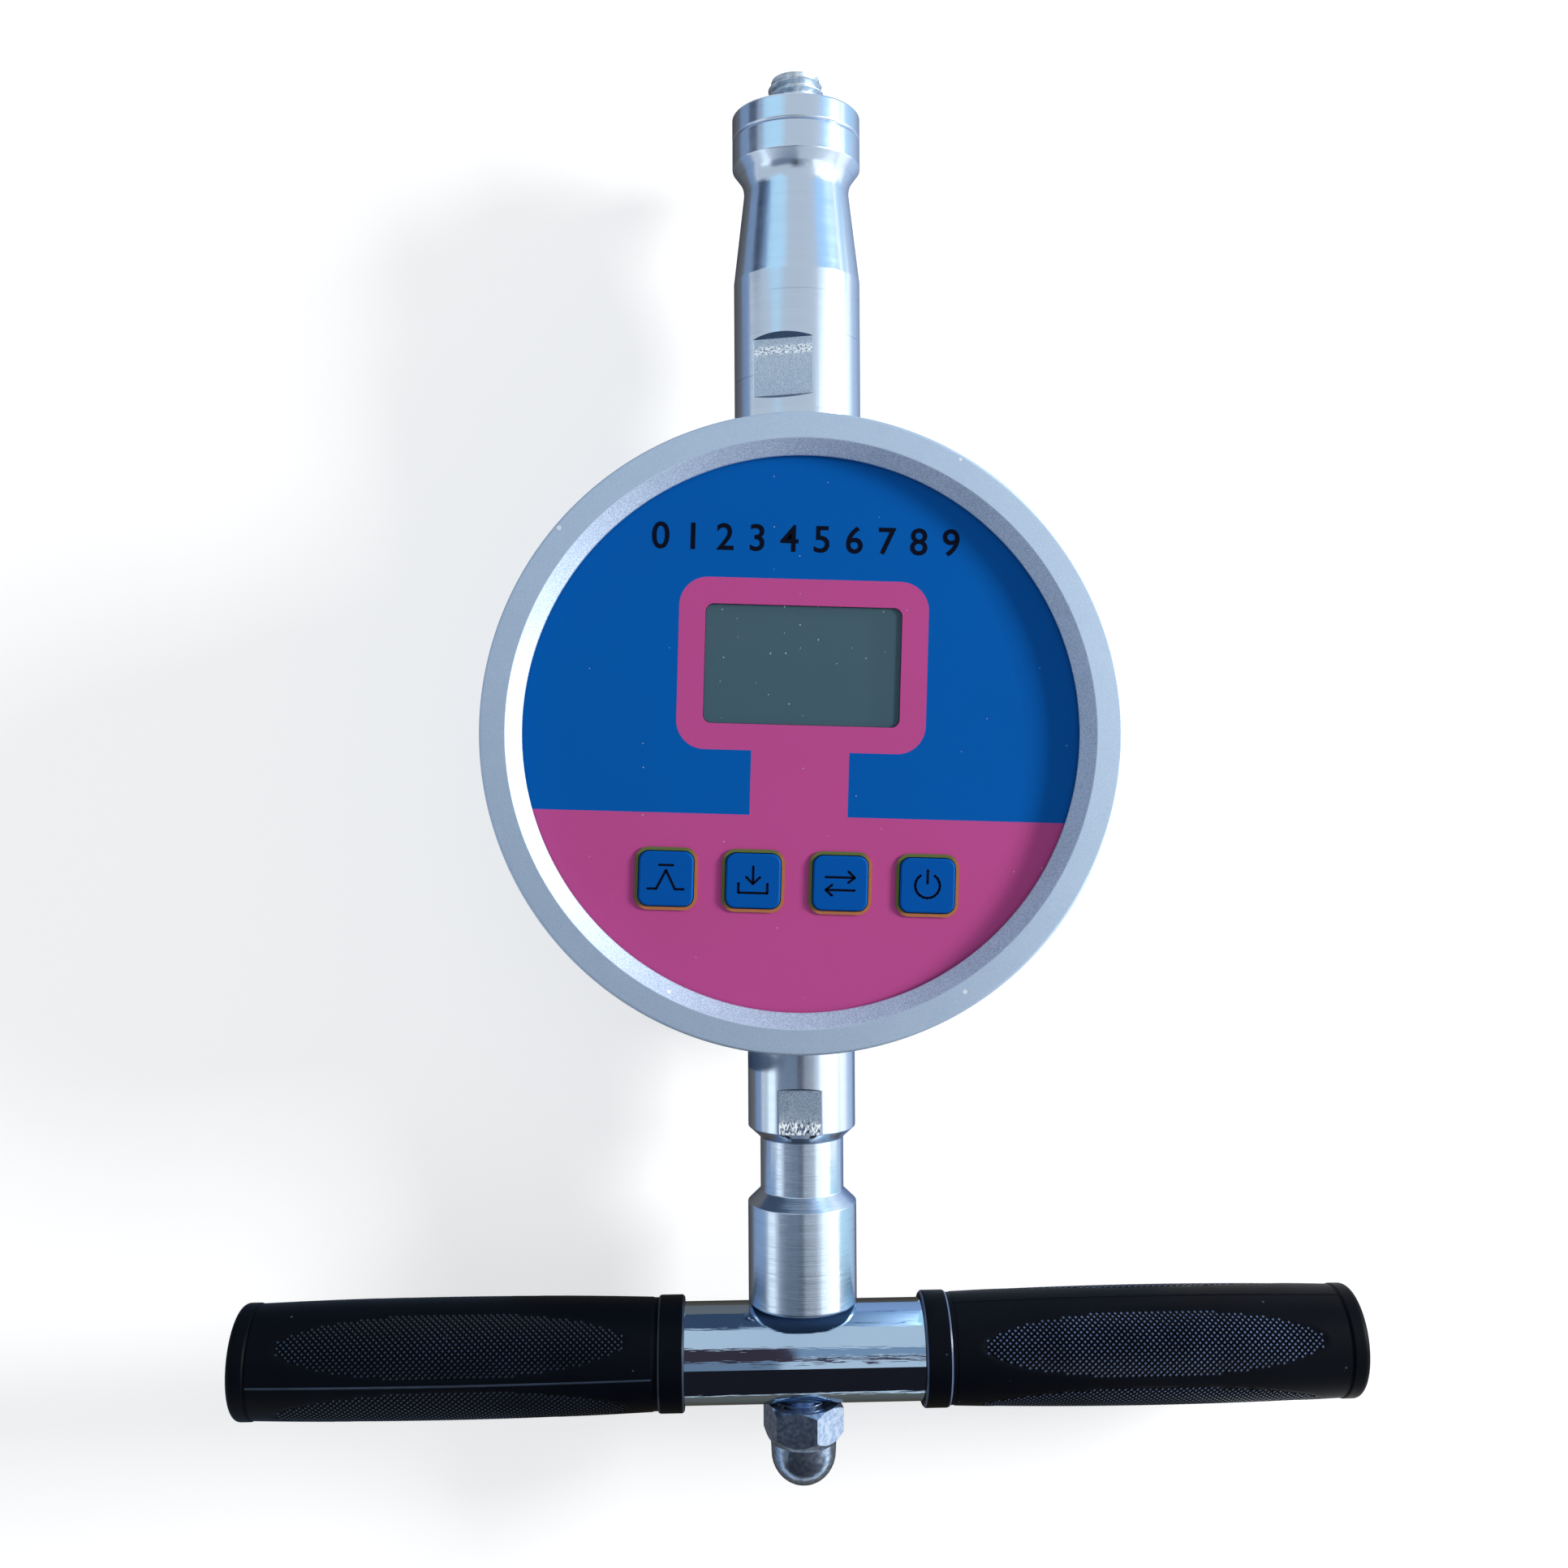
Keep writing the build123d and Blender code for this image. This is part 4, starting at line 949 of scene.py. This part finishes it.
def patch_share(place, turn, name):
    """How far a point lies inside an oval: above 0 inside, and 1 in its middle."""
    offset = min(abs((turn - middle + pi) % (2 * pi) - pi) for middle in oval_turns(name))
    across = offset * belly_radius / patch_half_width
    return 1 - hypot((place - patch_middle) / patch_half_length, across)


def on_worn_edge(place, radius):
    """Whether a point lies on one of the collar's two edges."""
    collar_edges = (grip_start + collar_corner / 2, collar_end - collar_corner / 2)
    on_collar = min(abs(place - edge) for edge in collar_edges) < collar_corner / 2
    return radius > bar_radius + mm and on_collar


def grip_body(name, side):
    bm = bmesh.new()
    spin_outline(bm, eased(grip_outline(), edge_ease), bar_middle, along_bar, up_bar, grip_steps)
    for vert in bm.verts:
        offset = vert.co - bar_middle
        place = offset.dot(along_bar)
        across = Vector((offset.dot(up_bar), offset.dot(side_bar)))
        if body_start < place < rim_start and across.length > bar_radius:
            turn = across.angle_signed(Vector((1, 0)))
            press = patch_depth * soft_step(patch_share(place, turn, name) / patch_edge)
            vert.co = grip_point(1, place, turn, across.length - press)
    for face in bm.faces:
        offset = face.calc_center_median() - bar_middle
        place = offset.dot(along_bar)
        # The collar's edges get the lighter finish: wear and painted highlight.
        if on_worn_edge(place, (offset - along_bar * place).length):
            face.material_index = 1
    if side < 0:
        for vert in bm.verts:
            vert.co -= along_bar * (2 * (vert.co - bar_middle).dot(along_bar))
    add_piece(f"rubber_{name}", bm, "handle", [rubber, wear_and_painted_sheen_rubber], [f"grip_{name}"])


grip_body("left", -1)
grip_body("right", 1)

# %% [markdown]
# The knurl in an oval is a thousand small blunt pyramids. A flat grid turned by 45 degrees gives the
# diamonds, the faces outside the oval are deleted, and an inset of each face raises its tip. The sheet is
# then wrapped round the grip. The tips have the lighter finish of wear and painted highlight, so that each
# shows a dot of light over the dull grooves. The parting line of the mould is a thin ridge between two ovals.

# %% Knurled patches and parting lines
diamond = 1.55 * mm
knurl_height = 0.27 * mm
knurl_slope = 0.29 * mm
knurl_margin = 0.03


def wrap_on_grip(bm, flat, side, turn, base):
    """Wrap a flat bmesh round a grip: X along the bar, Y round it and Z out from a base offset."""
    for vert in flat.verts:
        place = patch_middle + vert.co.x
        radius = body_radius(min(max(place, body_start), rim_start)) + base + vert.co.z
        vert.co = grip_point(side, place, turn + vert.co.y / belly_radius, radius)
    mesh = bpy.data.meshes.new("wrapped")
    flat.to_mesh(mesh)
    flat.free()
    bm.from_mesh(mesh)
    bpy.data.meshes.remove(mesh)


def knurl_sheet():
    """One flat oval of blunt pyramids whose tips get the lighter finish of wear and painted highlight."""
    sheet = bmesh.new()
    cells = ceil(2 * patch_half_length / diamond * sqrt(2)) + 2
    bmesh.ops.create_grid(sheet, x_segments=cells, y_segments=cells, size=cells * diamond / sqrt(2) / 2)
    bmesh.ops.rotate(sheet, verts=sheet.verts, cent=(0, 0, 0), matrix=Matrix.Rotation(pi / 4, 3, "Z"))
    outside = []
    for face in sheet.faces:
        middle = face.calc_center_median()
        if hypot(middle.x / patch_half_length, middle.y / patch_half_width) > 1 - knurl_margin:
            outside.append(face)
    bmesh.ops.delete(sheet, geom=outside, context="FACES")
    tips = sheet.faces[:]
    bmesh.ops.inset_individual(
        sheet, faces=tips, thickness=knurl_slope, depth=knurl_height, use_even_offset=True,
    )
    for tip in tips:
        tip.material_index = 1
    bmesh.ops.solidify(sheet, geom=sheet.faces[:], thickness=knurl_height)
    return sheet


def parting_ridge(finish):
    """A flat strip with a raised middle, as long as the grip's body."""
    strip = bmesh.new()
    bmesh.ops.create_grid(strip, x_segments=80, y_segments=2, size=0.5)
    bmesh.ops.scale(strip, vec=(rim_start - body_start, ridge_width, 1), verts=strip.verts)
    for vert in strip.verts:
        if abs(vert.co.y) < ridge_width / 4:
            vert.co.z = ridge_height
            vert.co.y += ridge_wander * sin(vert.co.x / mm) * sin(vert.co.x / (7 * mm))
    for face in strip.faces:
        face.material_index = finish
    return strip


ridge_width = 0.6 * mm
ridge_height = 0.22 * mm
ridge_wander = 0.06 * mm
ridge_turns = {"left": -patch_spread / 2, "right": (pi - patch_spread) / 2}
# The left ridge gets the lighter finish, a painted sheen along the parting line.
ridge_finishes = {"left": 1, "right": 0}
for name, side in (("left", -1), ("right", 1)):
    bm = bmesh.new()
    for turn in oval_turns(name):
        wrap_on_grip(bm, knurl_sheet(), side, turn, -patch_depth)
    for half in range(2):
        turn = patch_turns[name] + ridge_turns[name] + half * pi
        wrap_on_grip(bm, parting_ridge(ridge_finishes[name]), side, turn, 0)
    add_piece(f"knurl_{name}", bm, "handle", [rubber, wear_and_painted_sheen_rubber])

# %% [markdown]
# The bezel is a blasted ring with a flat front, a cone that falls towards the dial and a skirt that is
# screwed over the case. It is spun about the gauge's own axis.

# %% Bezel
bezel_low, bezel_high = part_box("bezel")
bezel_radius = bezel_high.x
bezel_front = bezel_high.z
bezel_round = 0.6 * mm
flat_radius = bezel_radius - 6.1 * mm
dial_radius = flat_radius - 3.4 * mm
cone_back = bezel_front - 3.4 * mm
lip_back = cone_back - 0.6 * mm
skirt_bore = bezel_radius - 3.5 * mm
round_steps = 5
bezel_steps = 256
bezel_outline = [
    (skirt_bore, bezel_low.z),
    (bezel_radius, bezel_low.z),
    *quarter_round(bezel_radius, bezel_front, bezel_round, round_steps),
    (flat_radius, bezel_front),
    (dial_radius, cone_back),
    (dial_radius, lip_back),
    (skirt_bore, lip_back),
    (skirt_bore, bezel_low.z),
]
bm = bmesh.new()
gauge_axis = Vector((0, 0, 1))
spin_outline(bm, eased(bezel_outline, edge_ease), Vector(), gauge_axis, Vector((1, 0, 0)), bezel_steps)
for face in bm.faces:
    middle = face.calc_center_median()
    if hypot(middle.x, middle.y) < flat_radius and middle.z > lip_back:
        face.material_index = 1
add_piece("bezel_ring", bm, "gauge", [blasted, bright_cut], ["bezel"])

# %% [markdown]
# Plastics and printed films come next. The dial's film has a satin surface with a faint orange peel and some
# dust, and its two inks are two finishes. The yellow outlines of the keys are printed over both inks, so they
# look olive on one side and orange on the other, with the change on the key's diagonal.

# %% Films, keys and display
dial_turn = radians(-1.9)
key_pitch = 20.5 * mm
key_row = -34.8 * mm


def printed_film(name, light, dark):
    material, place = textured_finish(name)
    cloud = place.noise(40.0, 3.0)
    peel = place.noise(1400.0)
    dust = place.specks(160.0, 0.024, 0.10, flat=True)
    return close_finish(
        material,
        Base_Color=dust.tint(cloud.tint(srgb(*light), srgb(*dark)), srgb(170, 186, 206)),
        Roughness=0.42 + 0.1 * cloud,
        Specular_IOR_Level=0.05,
        Normal=peel.bump(0.01 * mm),
    )


def key_outline():
    material, place = textured_finish("key_outline")
    turned_back = place.node("Mapping", {}, {"Vector": place, "Rotation": (0, 0, -dial_turn)})
    local = turned_back.axis("X") % key_pitch - key_pitch / 2
    side = (local - (turned_back.axis("Y") - key_row)).ramp(-2.5 * mm, 2.5 * mm)
    wear = turned_back.noise(900.0, 3.0)
    tone = side.tint(srgb(86, 112, 58), srgb(186, 116, 74))
    return close_finish(
        material,
        Base_Color=(0.5 * wear).tint(tone, srgb(120, 90, 60)),
        Roughness=0.45 + 0.1 * wear,
        Specular_IOR_Level=0.12,
        Normal=wear.bump(0.01 * mm),
    )


def plain_finish(name, light, dark, roughness, metallic=0.0, shine=0.5):
    """A plain finish: two tones, uneven roughness and a fine grain."""
    material, place = textured_finish(name)
    cloud = place.noise(300.0, 3.0)
    grain = place.noise(2400.0)
    return close_finish(
        material,
        Base_Color=cloud.tint(srgb(*light), srgb(*dark)),
        Metallic=metallic,
        Roughness=roughness + 0.12 * cloud,
        Specular_IOR_Level=shine,
        Normal=grain.bump(0.02 * mm),
    )


def smoky_window():
    material, place = textured_finish("smoky_window")
    dust = place.specks(260.0, 0.04, 0.3, flat=True)
    return close_finish(
        material,
        Base_Color=dust.tint(srgb(81, 112, 127), srgb(196, 210, 216)),
        Roughness=0.12,
        Specular_IOR_Level=0.15,
        Alpha=0.6 + 0.3 * dust,
    )


film_blue = printed_film("film_blue", (0, 91, 174), (0, 85, 168))
film_pink = printed_film("film_pink", (188, 77, 145), (181, 74, 139))
key_blue = printed_film("key_blue", (0, 85, 170), (0, 79, 163))
key_yellow = key_outline()
lcd_grey = printed_film("lcd_grey", (56, 82, 95), (50, 76, 89))
window = smoky_window()
plain_looks = {
    "black_plastic": ((22, 22, 24), (34, 34, 36), 0.5),
    "seal_rubber": ((18, 18, 19), (28, 28, 30), 0.6),
    "board_green": ((24, 92, 54), (18, 76, 44), 0.4),
    "cell_steel": ((196, 198, 200), (170, 173, 176), 0.25, 1.0),
    "battery_wrap": ((40, 110, 160), (34, 98, 146), 0.3),
    "lead_black": ((16, 16, 16), (26, 26, 26), 0.5),
}
plain_finishes = {name: plain_finish(name, *look) for name, look in plain_looks.items()}
print("finishes", len(bpy.data.materials))

# %% [markdown]
# The keys carry printed signs, so a plain set of icons goes on them: a peak, a tray to store in, two arrows
# for sending and a power sign. Each icon is thin strokes on the key's top and rides with its key.

# %% Key icons
ink_height = 0.04 * mm
stroke_width = 0.55 * mm
key_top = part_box("key_peak")[1].z
ink_black = plain_finish("ink_black", (4, 8, 24), (8, 12, 32), 0.4, shine=0.05)


def dial_point(x, y, z):
    """A point of the dial's own layout, in millimetres, turned with the panel."""
    return Matrix.Rotation(dial_turn, 3, "Z") @ Vector((x * mm, y * mm, z))


def stroke(bm, points, height):
    """A line of ink through points on the dial, with round ends and corners."""
    for first, last in zip(points, points[1:]):
        start, end = dial_point(*first, height), dial_point(*last, height)
        along = end - start
        turn = Matrix.Rotation(along.xy.angle_signed(Vector((1, 0))), 4, "Z")
        size = Matrix.Diagonal((along.length, stroke_width, ink_height, 1))
        bmesh.ops.create_cube(bm, size=1, matrix=Matrix.Translation((start + end) / 2) @ turn @ size)
    for point in points:
        bmesh.ops.create_cone(
            bm, cap_ends=True, segments=12, radius1=stroke_width / 2, radius2=stroke_width / 2,
            depth=ink_height, matrix=Matrix.Translation(dial_point(*point, height)),
        )


def arc_points(radius, start, end, count=16):
    steps = (radians(start + (end - start) * step / count) for step in range(count + 1))
    return [(radius * cos(angle), radius * sin(angle)) for angle in steps]


icons = {
    "key_peak": [
        [(-4.2, -2.4), (-2.2, -2.4), (0, 2.0), (2.2, -2.4), (4.2, -2.4)],
        [(-1.6, 3.2), (1.6, 3.2)],
    ],
    "key_store": [
        [(0, 3.4), (0, -0.7)],
        [(-1.6, 0.9), (0, -0.7), (1.6, 0.9)],
        [(-3.4, -0.6), (-3.4, -2.8), (3.4, -2.8), (3.4, -0.6)],
    ],
    "key_send": [
        [(-3.4, 1.4), (3.4, 1.4)],
        [(1.9, 2.8), (3.4, 1.4), (1.9, 0.2)],
        [(3.4, -1.6), (-3.4, -1.6)],
        [(-1.9, -0.4), (-3.4, -1.6), (-1.9, -2.9)],
    ],
    "key_power": [
        arc_points(2.9, 125, 415),
        [(0, 0.6), (0, 3.6)],
    ],
}
for column, (key, lines) in enumerate(icons.items()):
    bm = bmesh.new()
    middle = (column - (len(icons) - 1) / 2) * key_pitch / mm
    for line in lines:
        stroke(bm, [(x + middle, y + key_row / mm) for x, y in line], key_top + ink_height / 2)
    add_piece(f"icon_{key[4:]}", bm, key, [ink_black])

# %% [markdown]
# Above the display runs a plain row of printed figures. They are text turned into a mesh, so that they need
# no font where the model goes.

# %% Printed figures
figure_count = 10
figure_rise = 43.0
figure_pitch = 7.6
figure_share = 0.7
figure_height = 6.2 * mm
figure_weight = 0.1 * mm
film_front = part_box("dial_film_blue")[1].z
bm = bmesh.new()
for figure in range(figure_count):
    text = bpy.data.curves.new(f"figure_{figure}", "FONT")
    text.body = str(figure)
    text.size = figure_height / figure_share
    text.extrude = ink_height / 2
    text.offset = figure_weight
    text.align_x = "CENTER"
    holder = bpy.data.objects.new(text.name, text)
    mesh = bpy.data.meshes.new_from_object(holder)
    column = (figure - (figure_count - 1) / 2) * figure_pitch
    middle = dial_point(column, figure_rise, film_front + ink_height / 2)
    mesh.transform(Matrix.Translation(middle) @ Matrix.Rotation(dial_turn, 4, "Z"))
    bm.from_mesh(mesh)
    bpy.data.meshes.remove(mesh)
    bpy.data.objects.remove(holder)
    bpy.data.curves.remove(text)
add_piece("dial_scale", bm, "gauge", [ink_black])

# %% [markdown]
# Every CAD node gets the finish of its material slot. Most of the parts inside the case are seen with it, as
# are the bar, the films and the keys. Their shapes stay as they are.

# %% Finishes of the CAD nodes
kept_finishes = {
    "turned_aluminium": turned,
    "blasted_aluminium": blasted,
    "chrome_plate": chrome,
    "zinc_steel": zinc,
    "grip_rubber": rubber,
    "dial_blue": film_blue,
    "dial_pink": film_pink,
    "key_blue": key_blue,
    "key_yellow": key_yellow,
    "window_clear": window,
    "lcd_grey": lcd_grey,
    **plain_finishes,
}
for row in frame["record"]["subparts"]:
    node = frame["nodes"][row["node"]]
    node.data.materials.clear()
    node.data.materials.append(kept_finishes[row["material_slot"]])
